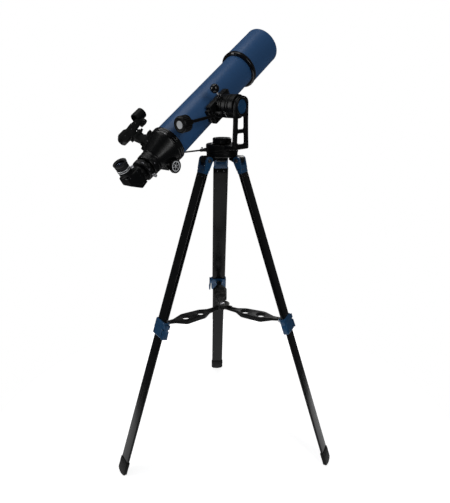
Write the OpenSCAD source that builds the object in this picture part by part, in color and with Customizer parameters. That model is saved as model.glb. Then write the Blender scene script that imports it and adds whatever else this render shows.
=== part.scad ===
// Refractor telescope on a single-arm altazimuth mount with a folding tripod.
// Frame: origin on the floor under the azimuth axis, Z up, Y where the tube points, X the altitude axis.

/* [Tube] */
// outer radius of the main tube
tube_radius = 52.5; // [40:0.1:70]
// wall thickness of the main tube
tube_wall = 1.5; // [1:0.1:3]
// rear end of the main tube along the optical axis
tube_rear = -196; // [-300:1:-100]
// front end of the main tube along the optical axis
tube_front = 204; // [100:1:300]
// elevation of the optical axis above the horizon
tube_altitude = 32.4; // [0:0.1:60]
// sideways offset of the optical axis from the azimuth axis
tube_side = -70.3; // [-90:0.1:-60]
// outer radius of the dew shield
shield_radius = 61.8; // [55:0.1:75]
// wall thickness of the dew shield
shield_wall = 1.6; // [1:0.1:3]
// front rim of the dew shield along the optical axis
shield_front = 349.2; // [250:0.1:400]
// outer radius of the black collar behind the dew shield
collar_radius = 63.2; // [60:0.1:80]
// rear face of the black collar
collar_rear = 195.5; // [150:0.1:240]
// front face of the black collar
collar_front = 209.5; // [160:0.1:260]
// radius of the two lenses of the objective
lens_radius = 52.4; // [40:0.1:60]

/* [Focuser] */
// outer radius of the rear ring
rear_radius = 57.3; // [50:0.1:70]
// front face of the rear ring
rear_front = -190.7; // [-250:0.1:-150]
// rear face of the rear ring, where the cone starts
cone_front = -212; // [-260:1:-195]
// rear end of the cone
cone_rear = -272; // [-320:1:-240]
// rear end of the focuser barrel
barrel_rear = -300; // [-340:1:-280]
// outer radius of the focuser barrel
barrel_radius = 34.5; // [30:0.1:45]
// outer radius of the sliding drawtube
drawtube_radius = 25.5; // [20:0.1:30]
// running clearance of shafts and sliding tubes
running_gap = 0.05; // [0.02:0.01:0.1]
// position of the focus shaft along the optical axis
pinion_along = -244; // [-260:1:-230]
// depth of the focus shaft below the optical axis
pinion_drop = 38; // [34:0.5:45]
// tooth size of the rack and pinion
tooth_module = 1; // [0.5:0.1:2]
// number of pinion teeth
pinion_teeth = 14; // [10:1:20]
// radius of the focus knobs
focus_knob_radius = 20.5; // [12:0.5:30]
// outer face of each focus knob from the optical axis
focus_knob_reach = 53; // [48:0.5:70]
// radius of the adapter ring on the drawtube
adapter_radius = 33; // [28:0.1:40]

/* [Diagonal and eyepiece] */
// radius of the push-fit eyepiece barrel and diagonal nose
barrel_fit_radius = 15.88; // [15:0.01:17]
// position of the eyepiece axis along the optical axis
eyepiece_along = -368; // [-380:1:-350]
// half width of the diagonal housing
diagonal_half = 18.5; // [16:0.1:24]
// top of the eyepiece holder above the optical axis
holder_top = 43; // [40:1:60]
// outer radius of the rubber eyecup
eyecup_radius = 20.6; // [16:0.1:26]
// top of the rubber eyecup above the optical axis
eyecup_top = 70; // [66:1:110]

/* [Finder] */
// angle of the finder around the tube from straight up
finder_angle = 42; // [20:1:60]
// distance of the finder body from the optical axis
finder_distance = 102; // [85:1:130]
// rear end of the finder body
finder_rear = -292; // [-310:1:-270]
// front end of the finder hood
finder_front = -169; // [-190:1:-150]

/* [Mount] */
// height of the altitude axis above the floor
altitude_height = 1195.5; // [1100:0.5:1300]
// radius of the altitude housing
housing_radius = 35; // [28:0.5:45]
// inner end of the altitude housing along X
housing_start = 6.5; // [5:0.1:12]
// inner face of the arm along X
arm_inner = 66.5; // [60:0.5:70]
// outer face of the arm along X
arm_outer = 76; // [65:0.5:90]
// radius of the altitude axle
axle_radius = 12; // [8:0.1:16]
// radius of the azimuth base disc
base_radius = 50.5; // [40:0.5:60]
// top of the azimuth base disc
base_top = 1082.5; // [1070:0.5:1100]
// seam between the turning disc and the tripod hub
base_seam = 1056; // [1050:0.5:1070]
// radius of the azimuth clamp knob
clamp_knob_radius = 29.5; // [20:0.5:35]
// top of the azimuth clamp knob
clamp_knob_top = 1100.7; // [1090:0.1:1120]

/* [Tripod] */
// distance of each leg hinge from the azimuth axis
hinge_reach = 60; // [50:1:80]
// height of the leg hinges above the floor
hinge_height = 1036; // [950:1:1100]
// lean of each leg from the vertical
leg_lean = 18.82; // [10:0.01:25]
// turn of the first leg from the X axis
first_leg_turn = 13.5; // [0:0.5:119]
// width of the upper leg
upper_width = 50; // [40:0.5:60]
// thickness of the upper leg
upper_depth = 12; // [9:0.5:20]
// wall thickness of the upper leg
leg_wall = 1.6; // [1:0.1:2.5]
// width of the lower leg
lower_width = 46; // [36:0.5:56]
// thickness of the lower leg
lower_depth = 8; // [5:0.5:14]
// distance along the leg from the hinge to the end of the upper leg
upper_length = 532; // [450:1:600]
// distance along the leg from the hinge to the top of the lower leg
lower_start = 470; // [400:1:520]
// distance along the leg from the hinge to the foot tip
leg_length = 1094.5; // [950:0.5:1200]

/* [Tray] */
// height of the tray arms above the floor
tray_height = 519; // [480:1:560]
// distance of the outer tray hinges from the azimuth axis
tray_reach = 218; // [200:1:240]
// distance of the inner ends of the tray arms from the azimuth axis
tray_inner = 30; // [26:1:40]
// radius of the eyepiece holes in the tray arms
tray_hole_radius = 16.2; // [12:0.1:20]
// radius of the tray hub cap
tray_cap_radius = 26; // [18:1:34]

/* [Hidden] */
tube_inner = tube_radius - tube_wall;
shield_inner = shield_radius - shield_wall;
cell_radius = shield_inner - 2.2;
pinion_pitch = tooth_module * pinion_teeth / 2;
rack_pitch_drop = pinion_drop - pinion_pitch;
tooth_step = PI * tooth_module;
holder_radius = diagonal_half;
nose_bore = barrel_fit_radius + running_gap;
leg_drop = hinge_height - tray_height;
clamp_along = sin(leg_lean) * (tray_reach - hinge_reach) + cos(leg_lean) * leg_drop;
clamp_out = cos(leg_lean) * (tray_reach - hinge_reach) - sin(leg_lean) * leg_drop;
inner_width = upper_width - 2 * leg_wall;
inner_depth = upper_depth - 2 * leg_wall;
foot_start = leg_length - 52;
$fn = 64;

// ---------- frames ----------

// puts children in the frame of the tilted tube: Y along the optical axis, Z up across it
module on_altitude() {
  translate([0, 0, altitude_height])
    rotate([tube_altitude, 0, 0])
      children();
}

// the same frame, centred on the optical axis
module on_axis() {
  on_altitude()
    translate([tube_side, 0, 0])
      children();
}

// finder frame: Z points away from the optical axis through the finder
module on_finder() {
  on_axis()
    rotate([0, -finder_angle, 0])
      children();
}

// turns children to one of the three legs
module at_leg(turn) {
  rotate([0, 0, first_leg_turn + 120 * turn])
    children();
}

// leg frame: origin at the hinge, Z up along the leg, X outward, Y sideways
module on_leg(turn) {
  at_leg(turn)
    translate([hinge_reach, 0, hinge_height])
      rotate([0, -leg_lean, 0])
        children();
}

// ---------- basic solids ----------

// cylinder along Y between two stations
module y_rod(from, to, radius) {
  translate([0, to, 0])
    rotate([90, 0, 0])
      cylinder(h = to - from, r = radius);
}

// hollow cylinder along Y
module y_ring(from, to, outer, inner) {
  difference() {
    y_rod(from, to, outer);
    y_rod(from - 1, to + 1, inner);
  }
}

// cone along Y with a radius at each station
module y_cone(from, to, radius_from, radius_to) {
  translate([0, to, 0])
    rotate([90, 0, 0])
      cylinder(h = to - from, r1 = radius_to, r2 = radius_from);
}

// cylinder along X between two stations
module x_rod(from, to, radius) {
  translate([from, 0, 0])
    rotate([0, 90, 0])
      cylinder(h = to - from, r = radius);
}

// box between two corners
module span_box(low, high) {
  translate(low)
    cube(high - low);
}

// flat bar along Z with rounded edges, centred on X and Y
module flat_bar(from, to, depth, width, corner) {
  translate([0, 0, from])
    linear_extrude(to - from)
      offset(r = corner, $fn = 16)
        square([depth - 2 * corner, width - 2 * corner], center = true);
}

// ring of small notches around Z used as grip
module grip_notches(radius, from, to, count, size) {
  for (i = [0 : count - 1])
    rotate([0, 0, i * 360 / count])
      translate([radius, 0, from])
        cylinder(h = to - from, r = size, $fn = 8);
}

// knurled screw along Z: shank up to the head, then the head
module thumbscrew(tip, head_from, head_to, shank, head) {
  translate([0, 0, tip])
    cylinder(h = head_from - tip + 0.1, r = shank, $fn = 24);
  difference() {
    translate([0, 0, head_from])
      cylinder(h = head_to - head_from, r = head, $fn = 32);
    grip_notches(head + 0.4, head_from - 1, head_to + 1, 16, 0.8);
  }
}

// ---------- optical tube ----------

// blue main tube
module main_tube() {
  color([0.14, 0.24, 0.42])
    on_axis()
      y_ring(tube_rear, tube_front, tube_radius, tube_inner);
}

// three thin rings that stop stray light
module tube_baffles() {
  color([0.05, 0.05, 0.05])
    on_axis() {
      y_ring(120, 121.5, tube_inner, 45);
      y_ring(0, 1.5, tube_inner, 40);
      y_ring(-110, -108.5, tube_inner, 34);
    }
}

// black collar between the tube and the dew shield
module front_collar() {
  color([0.06, 0.06, 0.07])
    on_axis()
      difference() {
        union() {
          y_rod(collar_rear + 1, collar_front - 1, collar_radius);
          y_rod(collar_rear, collar_front, collar_radius - 1);
        }
        y_rod(collar_rear - 1, tube_front, tube_radius);
        y_rod(tube_front, collar_front + 1, cell_radius);
      }
}

// blue dew shield
module dew_shield() {
  color([0.14, 0.24, 0.42])
    on_axis()
      difference() {
        y_rod(collar_front, shield_front, shield_radius);
        y_rod(collar_front - 1, 238, shield_inner);
        y_rod(237, shield_front + 1, shield_inner - 0.8);
      }
}

// ring that holds the objective lenses
module objective_cell() {
  color([0.05, 0.05, 0.06])
    on_axis()
      difference() {
        union() {
          y_rod(tube_front, 236, cell_radius);
          y_rod(collar_front, collar_front + 5, shield_inner);
        }
        y_rod(tube_front - 1, 237, 51);
        y_rod(209, 231, lens_radius);
      }
}

// one lens as a turned profile: flat or curved front and back
module lens(back, back_edge, front, front_edge, radius) {
  rotate([-90, 0, 0])
    rotate_extrude($fn = 72)
      polygon(concat(
        [for (i = [0 : 8]) [radius * i / 8, back + (back_edge - back) * (i / 8) * (i / 8)]],
        [for (i = [8 : -1 : 0]) [radius * i / 8, front + (front_edge - front) * (i / 8) * (i / 8)]]
      ));
}

// the two lenses of the objective
module objective_lens() {
  color([0.7, 0.8, 0.9, 0.4])
    on_axis() {
      lens(217, 220.9, 230, 225.8, lens_radius);
      lens(209.6, 209.6, 216.5, 220.4, lens_radius);
    }
}

// ---------- focuser ----------

// black ring at the back of the tube with two raised bands
module rear_cell() {
  color([0.06, 0.06, 0.07])
    on_axis()
      difference() {
        union() {
          y_rod(-197, rear_front, rear_radius);
          y_rod(-203, -198.5, rear_radius - 0.3);
          y_rod(-212, -204.5, rear_radius - 0.6);
          y_rod(-211, -196, rear_radius - 2);
        }
        y_rod(tube_rear, rear_front + 1, tube_radius);
        y_rod(cone_front - 1, tube_rear + 1, tube_inner);
      }
}

// cone, barrel and shaft housing of the focuser
module focuser_body() {
  color([0.06, 0.06, 0.07])
    on_axis()
      difference() {
        union() {
          y_cone(cone_rear, cone_front, barrel_radius + 1.5, rear_radius - 1.3);
          y_rod(barrel_rear, cone_rear + 1, barrel_radius);
          y_rod(-281, -277, barrel_radius + 0.8);
          span_box([-27, pinion_along - 13, -pinion_drop - 11], [27, pinion_along + 13, -30]);
        }
        y_cone(-262, cone_front + 0.01, 30, rear_radius - 6);
        y_rod(barrel_rear - 1, cone_rear + 20, drawtube_radius + running_gap);
        span_box([-4.6, barrel_rear - 1, -rack_pitch_drop - 1.6], [4.6, cone_front, -20]);
        translate([0, pinion_along, -pinion_drop])
          x_rod(-6, 6, pinion_pitch + 2);
        translate([0, pinion_along, -pinion_drop])
          x_rod(-40, 40, 4 + running_gap);
        for (side = [-1, 1])
          translate([side * (focus_knob_reach + 1.5), pinion_along, -pinion_drop])
            x_rod(-12, 12, focus_knob_radius + 1.1);
      }
}

// tube that slides in the focuser barrel
module drawtube() {
  color([0.1, 0.1, 0.11])
    on_axis()
      y_ring(-308, -176, drawtube_radius, drawtube_radius - 2);
}

// toothed strip under the drawtube
module focus_rack() {
  color([0.55, 0.55, 0.57])
    on_axis()
      difference() {
        union() {
          span_box([-4, -262, -rack_pitch_drop + 1.2], [4, -176, -24]);
          for (i = [-5 : 21])
            translate([0, pinion_along + (i + 0.5) * tooth_step, 0])
              rotate([90, 0, 90])
                translate([0, 0, -4])
                  linear_extrude(8)
                    polygon([[-0.85, -rack_pitch_drop + 1.3], [0.85, -rack_pitch_drop + 1.3],
                      [0.35, -rack_pitch_drop - 0.8], [-0.35, -rack_pitch_drop - 0.8]]);
        }
        y_rod(-320, -170, drawtube_radius);
      }
}

// ring that holds the diagonal
module adapter_ring() {
  color([0.06, 0.06, 0.07])
    on_axis()
      difference() {
        union() {
          y_rod(-321, -307, adapter_radius);
          y_rod(-322, -306, adapter_radius - 1);
        }
        y_rod(-308, -305, drawtube_radius);
        y_rod(-323, -307, nose_bore);
        rotate([0, 111, 0])
          translate([0, -314, 0])
            cylinder(h = 40, r = 2.55, $fn = 24);
      }
}

// focus shaft with its gear teeth
module focus_pinion() {
  color([0.6, 0.6, 0.62])
    on_axis()
      translate([0, pinion_along, -pinion_drop]) {
        x_rod(-50, 50, 4);
        x_rod(-5, 5, pinion_pitch - 1.2);
        for (i = [0 : pinion_teeth - 1])
          rotate([i * 360 / pinion_teeth, 0, 0])
            rotate([90, 0, 90])
              translate([0, 0, -5])
                linear_extrude(10)
                  polygon([[-0.85, pinion_pitch - 1.4], [0.85, pinion_pitch - 1.4],
                    [0.3, pinion_pitch + 0.8], [-0.3, pinion_pitch + 0.8]]);
      }
}

// two wheels on the focus shaft
module focus_knobs() {
  color([0.08, 0.08, 0.09])
    on_axis()
      translate([0, pinion_along, -pinion_drop])
        for (side = [0, 180])
          rotate([0, 0, side])
            difference() {
              union() {
                x_rod(focus_knob_reach - 9.8, focus_knob_reach - 1, focus_knob_radius);
                x_rod(focus_knob_reach - 9.8, focus_knob_reach, focus_knob_radius - 1.5);
                x_rod(focus_knob_reach - 17, focus_knob_reach - 9.8, 6);
              }
              x_rod(focus_knob_reach - 20, 50, 4);
              x_rod(focus_knob_reach - 1.5, focus_knob_reach + 1, focus_knob_radius - 3.5);
              rotate([0, 90, 0])
                grip_notches(focus_knob_radius + 0.6, focus_knob_reach - 9, focus_knob_reach - 2, 36, 1.1);
            }
}

// ---------- diagonal and eyepiece ----------

// outline of the diagonal housing across its width
module diagonal_outline() {
  polygon([[-332, -26], [-354, -29], [-357, -29], [-386, 2], [-386, 25], [-384, 27],
    [-336, 27], [-332, 23]]);
}

// body that bends the light upward
module diagonal_housing() {
  color([0.07, 0.07, 0.08])
    on_axis()
      difference() {
        union() {
          rotate([90, 0, 90])
            translate([0, 0, -diagonal_half])
              linear_extrude(2 * diagonal_half)
                diagonal_outline();
          y_rod(-335, -292, barrel_fit_radius);
          y_rod(-334, -323, 23);
          translate([0, eyepiece_along, 20])
            cylinder(h = holder_top - 20, r = holder_radius);
        }
        y_rod(-360, -290, 13.8);
        translate([0, eyepiece_along, 16])
          cylinder(h = 60, r = nose_bore);
        intersection() {
          union() {
            y_rod(eyepiece_along - 14, -340, 13.8);
            translate([0, eyepiece_along, -14])
              cylinder(h = 34, r = 13.8);
          }
          translate([0, eyepiece_along, 0])
            rotate([-45, 0, 0])
              span_box([-20, -40, 0], [20, 60, 60]);
        }
        translate([0, eyepiece_along, 0])
          rotate([-45, 0, 0])
            span_box([-15, -20, -3], [15, 20, 0.01]);
        translate([0, eyepiece_along, 36])
          rotate([0, 0, -12])
            rotate([-90, 0, 0])
              cylinder(h = 30, r = 2.05, $fn = 24);
      }
}

// flat mirror at half a right angle
module diagonal_mirror() {
  color([0.8, 0.82, 0.85])
    on_axis()
      translate([0, eyepiece_along, 0])
        rotate([-45, 0, 0])
          span_box([-15, -20, -3], [15, 20, 0]);
}

// screw that holds the diagonal in the adapter ring
module diagonal_thumbscrew() {
  color([0.7, 0.7, 0.72])
    on_axis()
      translate([0, -314, 0])
        rotate([0, 111, 0])
          thumbscrew(16.6, 36, 47, 2.5, 4.6);
}

// screw that holds the eyepiece in the diagonal
module eyepiece_thumbscrew() {
  color([0.7, 0.7, 0.72])
    on_axis()
      translate([0, eyepiece_along, 36])
        rotate([0, 0, -12])
          rotate([-90, 0, 0])
            thumbscrew(16.6, 20.5, 29, 2, 4.2);
}

// metal body of the eyepiece
module eyepiece_body() {
  color([0.12, 0.12, 0.13])
    on_axis()
      translate([0, eyepiece_along, 0])
        difference() {
          union() {
            translate([0, 0, 20])
              cylinder(h = holder_top - 18, r = barrel_fit_radius);
            translate([0, 0, holder_top + 0.4])
              cylinder(h = 3, r = 19);
            translate([0, 0, holder_top + 3])
              cylinder(h = 3, r = 17.6);
            translate([0, 0, holder_top + 5.6])
              cylinder(h = 3, r = 19.2);
            translate([0, 0, holder_top + 8])
              cylinder(h = eyecup_top - holder_top - 11, r = 16);
          }
          translate([0, 0, 19])
            cylinder(h = holder_top - 5, r = 13.5);
          translate([0, 0, holder_top])
            cylinder(h = 40, r = 12);
        }
}

// eye lens of the eyepiece
module eyepiece_lens() {
  color([0.7, 0.8, 0.9, 0.4])
    on_axis()
      translate([0, eyepiece_along, eyecup_top - 9])
        cylinder(h = 4, r = 12);
}

// soft rubber cup on the eyepiece
module eyepiece_eyecup() {
  color([0.05, 0.05, 0.05])
    on_axis()
      translate([0, eyepiece_along, 0])
        difference() {
          union() {
            translate([0, 0, holder_top + 10])
              cylinder(h = eyecup_top - holder_top - 12, r1 = 17.6, r2 = eyecup_radius);
            translate([0, 0, eyecup_top - 2])
              cylinder(h = 2, r1 = eyecup_radius, r2 = eyecup_radius - 0.8);
            for (i = [0 : 1])
              translate([0, 0, holder_top + 12 + 4 * i])
                cylinder(h = 1.8, r = 18.8 + i * 0.6);
          }
          translate([0, 0, holder_top + 9])
            cylinder(h = eyecup_top - holder_top - 12, r = 16);
          translate([0, 0, eyecup_top - 3.1])
            cylinder(h = 5, r1 = 15.4, r2 = 20);
        }
}

// ---------- finder ----------

// foot, stem and base plate of the finder
module finder_bracket() {
  color([0.07, 0.08, 0.08])
    on_finder()
      difference() {
        union() {
          span_box([-11, -252, 30], [11, -213, 58]);
          span_box([-9, -262, 28], [9, -250, 48]);
          span_box([-9, -215, 50], [9, -203, 65]);
          rotate([90, 0, 90])
            translate([0, 0, -8])
              linear_extrude(16)
                polygon([[-250, 56], [-216, 56], [-236, 76], [-236, 80], [-258, 80], [-256, 72]]);
          span_box([-12, -262, 78], [12, -219, 84]);
          translate([0, -226, 70])
            cylinder(h = 23.8, r = 3, $fn = 24);
          translate([0, -226, 84])
            cylinder(h = 5, r = 6, $fn = 32);
        }
        rotate([0, finder_angle, 0])
          y_cone(cone_rear, cone_front, barrel_radius + 1.5, rear_radius - 1.3);
        rotate([0, finder_angle, 0])
          y_rod(-300, cone_rear + 1, barrel_radius);
        rotate([0, finder_angle, 0])
          y_rod(-214, -190, rear_radius);
      }
}

// housing of the finder with the round window hood
module finder_body() {
  color([0.08, 0.08, 0.09])
    on_finder()
      difference() {
        union() {
          rotate([90, 0, 90])
            translate([0, 0, -12])
              linear_extrude(24)
                polygon([[-286, 86], [-264, 86], [-262, 84], [-238, 84], [-236, 92], [-226, 94],
                  [-212, 95.5], [-199, 98], [-200, 112], [-214, 118], [-254, 113], [-262, 117],
                  [-284, 116], [-291, 108], [finder_rear, 94]]);
          translate([0, 0, 118])
            y_rod(-204, finder_front, 16);
          span_box([-9, -206, 88], [9, -185, 106]);
        }
        translate([0, 0, 119])
          y_rod(-230, finder_front + 1, 13);
        translate([0, -196.5, 91])
          x_rod(4, 20, 2.55);
      }
}

// tilted glass disc in the hood
module finder_window() {
  color([0.7, 0.8, 0.9, 0.4])
    on_finder()
      translate([0, 0, 119])
        y_rod(-180, -178, 13);
}

// brightness dial on the side of the finder
module finder_dial() {
  color([0.06, 0.06, 0.07])
    on_finder()
      translate([0, -196.5, 91])
        difference() {
          union() {
            x_rod(4.5, 12.8, 2.5);
            x_rod(12.5, 18, 6.5);
          }
          rotate([0, 90, 0])
            grip_notches(6.9, 11, 19, 18, 0.7);
        }
}

// ---------- saddle ----------

// clamp block that grips the dovetail bar, with the altitude axle
module saddle() {
  color([0.07, 0.07, 0.08])
    on_altitude()
      difference() {
        union() {
          span_box([-16, -50, -30], [2, 46, 30]);
          x_rod(1, 5.5, 33);
          x_rod(5, 58, axle_radius);
        }
        rotate([90, 0, 0])
          translate([0, 0, -60])
            linear_extrude(120)
              polygon([[-20, -17], [-20, 17], [-7, 22.4], [-7, -22.4]]);
        translate([-5, 30, -42])
          cylinder(h = 20, r = 3.05, $fn = 24);
      }
}

// bar that carries the tube
module dovetail_bar() {
  color([0.1, 0.1, 0.11])
    on_altitude()
      difference() {
        rotate([90, 0, 0])
          translate([0, 0, -58])
            linear_extrude(116)
              polygon([[-26, -17], [-20, -17], [-7, -22.4], [-7, 22.4], [-20, 17], [-26, 17]]);
        translate([tube_side, 0, 0])
          y_rod(-80, 80, tube_radius);
      }
}

// knob that tightens the saddle
module saddle_clamp_knob() {
  color([0.06, 0.06, 0.07])
    on_altitude()
      translate([-5, 30, 0])
        rotate([180, 0, 0])
        difference() {
          union() {
            translate([0, 0, 24])
              cylinder(h = 10, r = 3, $fn = 24);
            translate([0, 0, 31])
              cylinder(h = 13, r = 9, $fn = 40);
            translate([0, 0, 43])
              cylinder(h = 3, r = 7, $fn = 40);
          }
          grip_notches(10, 30, 47, 10, 2);
        }
}

// ---------- altazimuth head ----------

// turning disc with the arm foot and the azimuth drive boss
module azimuth_base() {
  color([0.08, 0.08, 0.09])
    difference() {
      union() {
        translate([0, 0, base_seam + 0.4])
          cylinder(h = 8.6, r = base_radius);
        translate([0, 0, base_seam + 8])
          cylinder(h = 4, r = base_radius - 1.2);
        translate([0, 0, base_seam + 11])
          cylinder(h = base_top - base_seam - 12.5, r = base_radius);
        translate([0, 0, base_seam + 12])
          cylinder(h = base_top - base_seam - 12, r = base_radius - 1.5);
        translate([0, 0, 1034])
          cylinder(h = 30, r = 10);
        span_box([28, -34, 1070], [arm_inner, 34, base_top]);
        translate([0, -25, 1070])
          rotate([0, -9.5, 0])
            x_rod(-54, -20, 6);
      }
      translate([0, 0, 1076])
        cylinder(h = 10, r = 6.05);
      translate([0, -25, 1070])
        rotate([0, -9.5, 0])
          x_rod(-56, -40, 3.05);
    }
}

// outline of the windowed arm
module arm_outline() {
  difference() {
    union() {
      polygon([[-36, 1070], [39, 1070], [36.5, 1110], [35, 1150], [35, 1210], [31, 1219],
        [22, 1224.5], [8, 1227], [-16, 1222], [-31, 1199], [-31, 1150], [-33, 1110]]);
      translate([0, altitude_height])
        circle(r = 31);
    }
    offset(r = 3, $fn = 24)
      polygon([[-15, 1089.2], [19, 1089.2], [17.5, 1115.3], [-13.5, 1115.3]]);
    offset(r = 3, $fn = 24)
      polygon([[-12.5, 1133.5], [16.5, 1133.5], [15.5, 1163.6], [-11, 1163.6]]);
  }
}

// single arm with two windows and the bezel of the altitude axis
module mount_arm() {
  color([0.07, 0.07, 0.08])
    union() {
      translate([arm_inner, 0, 0])
        rotate([90, 0, 90])
          linear_extrude(arm_outer - arm_inner)
            arm_outline();
      translate([0, 0, altitude_height])
        difference() {
          x_rod(arm_outer - 1, arm_outer + 3.5, 27);
          x_rod(arm_outer, arm_outer + 5, 21);
        }
    }
}

// ribbed drum that carries the altitude axle and its drive
module altitude_housing() {
  color([0.08, 0.08, 0.09])
    translate([0, 0, altitude_height])
      difference() {
        union() {
          x_rod(housing_start, arm_inner, housing_radius - 2);
          x_rod(housing_start + 1, housing_start + 7, housing_radius - 1);
          x_rod(housing_start + 9, housing_start + 15, housing_radius);
          x_rod(housing_start + 17, housing_start + 32, housing_radius);
          x_rod(housing_start + 34, housing_start + 40, housing_radius);
          x_rod(housing_start + 42, arm_inner, housing_radius);
          span_box([housing_start, -42, -32], [32, -8, -14]);
        }
        x_rod(0, 59, axle_radius + running_gap);
        translate([14, 0, 0])
          rotate([45, 0, 0])
            cylinder(h = 40, r = 4.05, $fn = 24);
        translate([16, -28, -22.8])
          rotate([90 + 7, 0, 0])
            cylinder(h = 20, r = 4.05, $fn = 24);
      }
}

// blue disc that covers the end of the altitude axis
module altitude_cap() {
  color([0.1, 0.3, 0.5])
    translate([0, 0, altitude_height])
      union() {
        x_rod(arm_outer, arm_outer + 1, 20.95);
        x_rod(arm_outer + 1, arm_outer + 1.6, 18);
      }
}

// large knob that clamps the azimuth axis
module azimuth_clamp_knob() {
  color([0.07, 0.07, 0.08])
    difference() {
      union() {
        translate([0, 0, 1078])
          cylinder(h = 8, r = 6);
        translate([0, 0, base_top + 1])
          cylinder(h = clamp_knob_top - base_top - 2.5, r = clamp_knob_radius);
        translate([0, 0, base_top + 3])
          cylinder(h = clamp_knob_top - base_top - 3, r = clamp_knob_radius - 1.5);
      }
      grip_notches(clamp_knob_radius + 1, base_top + 3, clamp_knob_top + 1, 30, 1.6);
    }
}

// lever with a ball end that locks the altitude axis
module altitude_lock_lever() {
  color([0.06, 0.06, 0.07])
    translate([14, 0, altitude_height])
      rotate([45, 0, 0]) {
        translate([0, 0, 26])
          cylinder(h = 40, r = 4, $fn = 24);
        translate([0, 0, 36])
          cylinder(h = 8, r = 8, $fn = 24);
        translate([0, 0, 71])
          sphere(r = 13.6, $fn = 40);
      }
}

// shaft of the altitude drive
module altitude_fine_shaft() {
  color([0.08, 0.08, 0.09])
    translate([16, -28, altitude_height - 22.8])
      rotate([90 + 7, 0, 0]) {
        translate([0, 0, 2])
          cylinder(h = 20, r = 4, $fn = 24);
        translate([0, 0, 16.5])
          cylinder(h = 129, r = 5.2, $fn = 32);
        translate([0, 0, 122])
          cylinder(h = 18.9, r = 7, $fn = 32);
      }
}

// drum knob of the altitude drive
module altitude_fine_knob() {
  color([0.07, 0.07, 0.08])
    translate([16, -28, altitude_height - 22.8])
      rotate([90 + 7, 0, 0])
        difference() {
          union() {
            translate([0, 0, 141])
              cylinder(h = 4, r1 = 14, r2 = 21.5);
            translate([0, 0, 145])
              cylinder(h = 28, r = 23.5);
            translate([0, 0, 173])
              cylinder(h = 2, r1 = 23.5, r2 = 21.5);
          }
          translate([0, 0, 140])
            cylinder(h = 6, r = 5.2, $fn = 32);
          grip_notches(24.3, 147, 171, 24, 1.6);
        }
}

// slender shaft of the azimuth drive with its coupler and its knob
module azimuth_fine_shaft() {
  color([0.06, 0.06, 0.07])
    translate([0, -25, 1070])
      rotate([0, -9.5, 0]) {
        x_rod(-66, -42, 3);
        x_rod(-70, -55, 5);
        x_rod(-208, -68, 3);
        translate([-62, 0, 3])
          cylinder(h = 6, r = 1.6, $fn = 16);
        translate([-62, 0, 6.2])
          cylinder(h = 3.2, r = 3, $fn = 16);
        difference() {
          union() {
            x_rod(-244, -206, 9);
            x_rod(-246, -243, 8);
            x_rod(-206, -200, 6);
          }
          x_rod(-208, -199, 3);
          rotate([0, -90, 0])
            grip_notches(9.6, 208, 242, 14, 1.4);
        }
      }
}

// ---------- tripod ----------

// fixed disc with three hinge knuckles
module tripod_hub() {
  color([0.07, 0.07, 0.08])
    difference() {
      union() {
        translate([0, 0, 1044])
          cylinder(h = base_seam - 1044, r = base_radius);
        translate([0, 0, 1030])
          cylinder(h = 16, r = 18);
        for (turn = [0 : 2])
          at_leg(turn)
            hull() {
              translate([hinge_reach, 14.5, hinge_height])
                rotate([90, 0, 0])
                  cylinder(h = 29, r = 12.5, $fn = 40);
              span_box([26, -14.5, 1036], [40, 14.5, 1048]);
            }
      }
      translate([0, 0, 1020])
        cylinder(h = 60, r = 10 + running_gap);
      for (turn = [0 : 2])
        at_leg(turn)
          translate([hinge_reach, 20, hinge_height])
            rotate([90, 0, 0])
              cylinder(h = 40, r = 4, $fn = 24);
    }
}

// three bolts through the hinge knuckles
module hinge_pins() {
  color([0.6, 0.6, 0.62])
    for (turn = [0 : 2])
      at_leg(turn)
        translate([hinge_reach, 0, hinge_height])
          rotate([90, 0, 0]) {
            translate([0, 0, -26])
              cylinder(h = 52, r = 4, $fn = 24);
            translate([0, 0, 23.6])
              cylinder(h = 3.4, r = 6.4, $fn = 24);
            translate([0, 0, -27])
              cylinder(h = 3.4, r = 6.4, $fn = 24);
          }
}

// blue fork at the top of a leg
module leg_bracket(turn) {
  color([0.1, 0.27, 0.45])
    on_leg(turn)
      difference() {
        union() {
          for (side = [-1, 1])
            hull() {
              translate([0, side * 19.1 + 4, 0])
                rotate([90, 0, 0])
                  cylinder(h = 8, r = 12, $fn = 40);
              span_box([-9, side * 19.1 - 4, -30], [9, side * 19.1 + 4, -26]);
            }
          flat_bar(-42, -18, 17, 46.2, 4);
          flat_bar(-62, -40, inner_depth, inner_width, 1);
        }
        translate([0, 30, 0])
          rotate([90, 0, 0])
            cylinder(h = 60, r = 4 + running_gap, $fn = 24);
        translate([0, 15.1, 0])
          rotate([90, 0, 0])
            cylinder(h = 30.2, r = 14, $fn = 40);
        for (side = [-1, 1])
          translate([4, side * 11, -52])
            rotate([0, 90, 0])
              cylinder(h = 3, r = 1.5, $fn = 16);
      }
}

// hollow upper leg
module upper_leg(turn) {
  color([0.08, 0.08, 0.09])
    on_leg(turn)
      difference() {
        flat_bar(-upper_length - 8, -42, upper_depth, upper_width, 3);
        flat_bar(-upper_length - 9, -41, inner_depth, inner_width, 1);
      }
}

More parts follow.
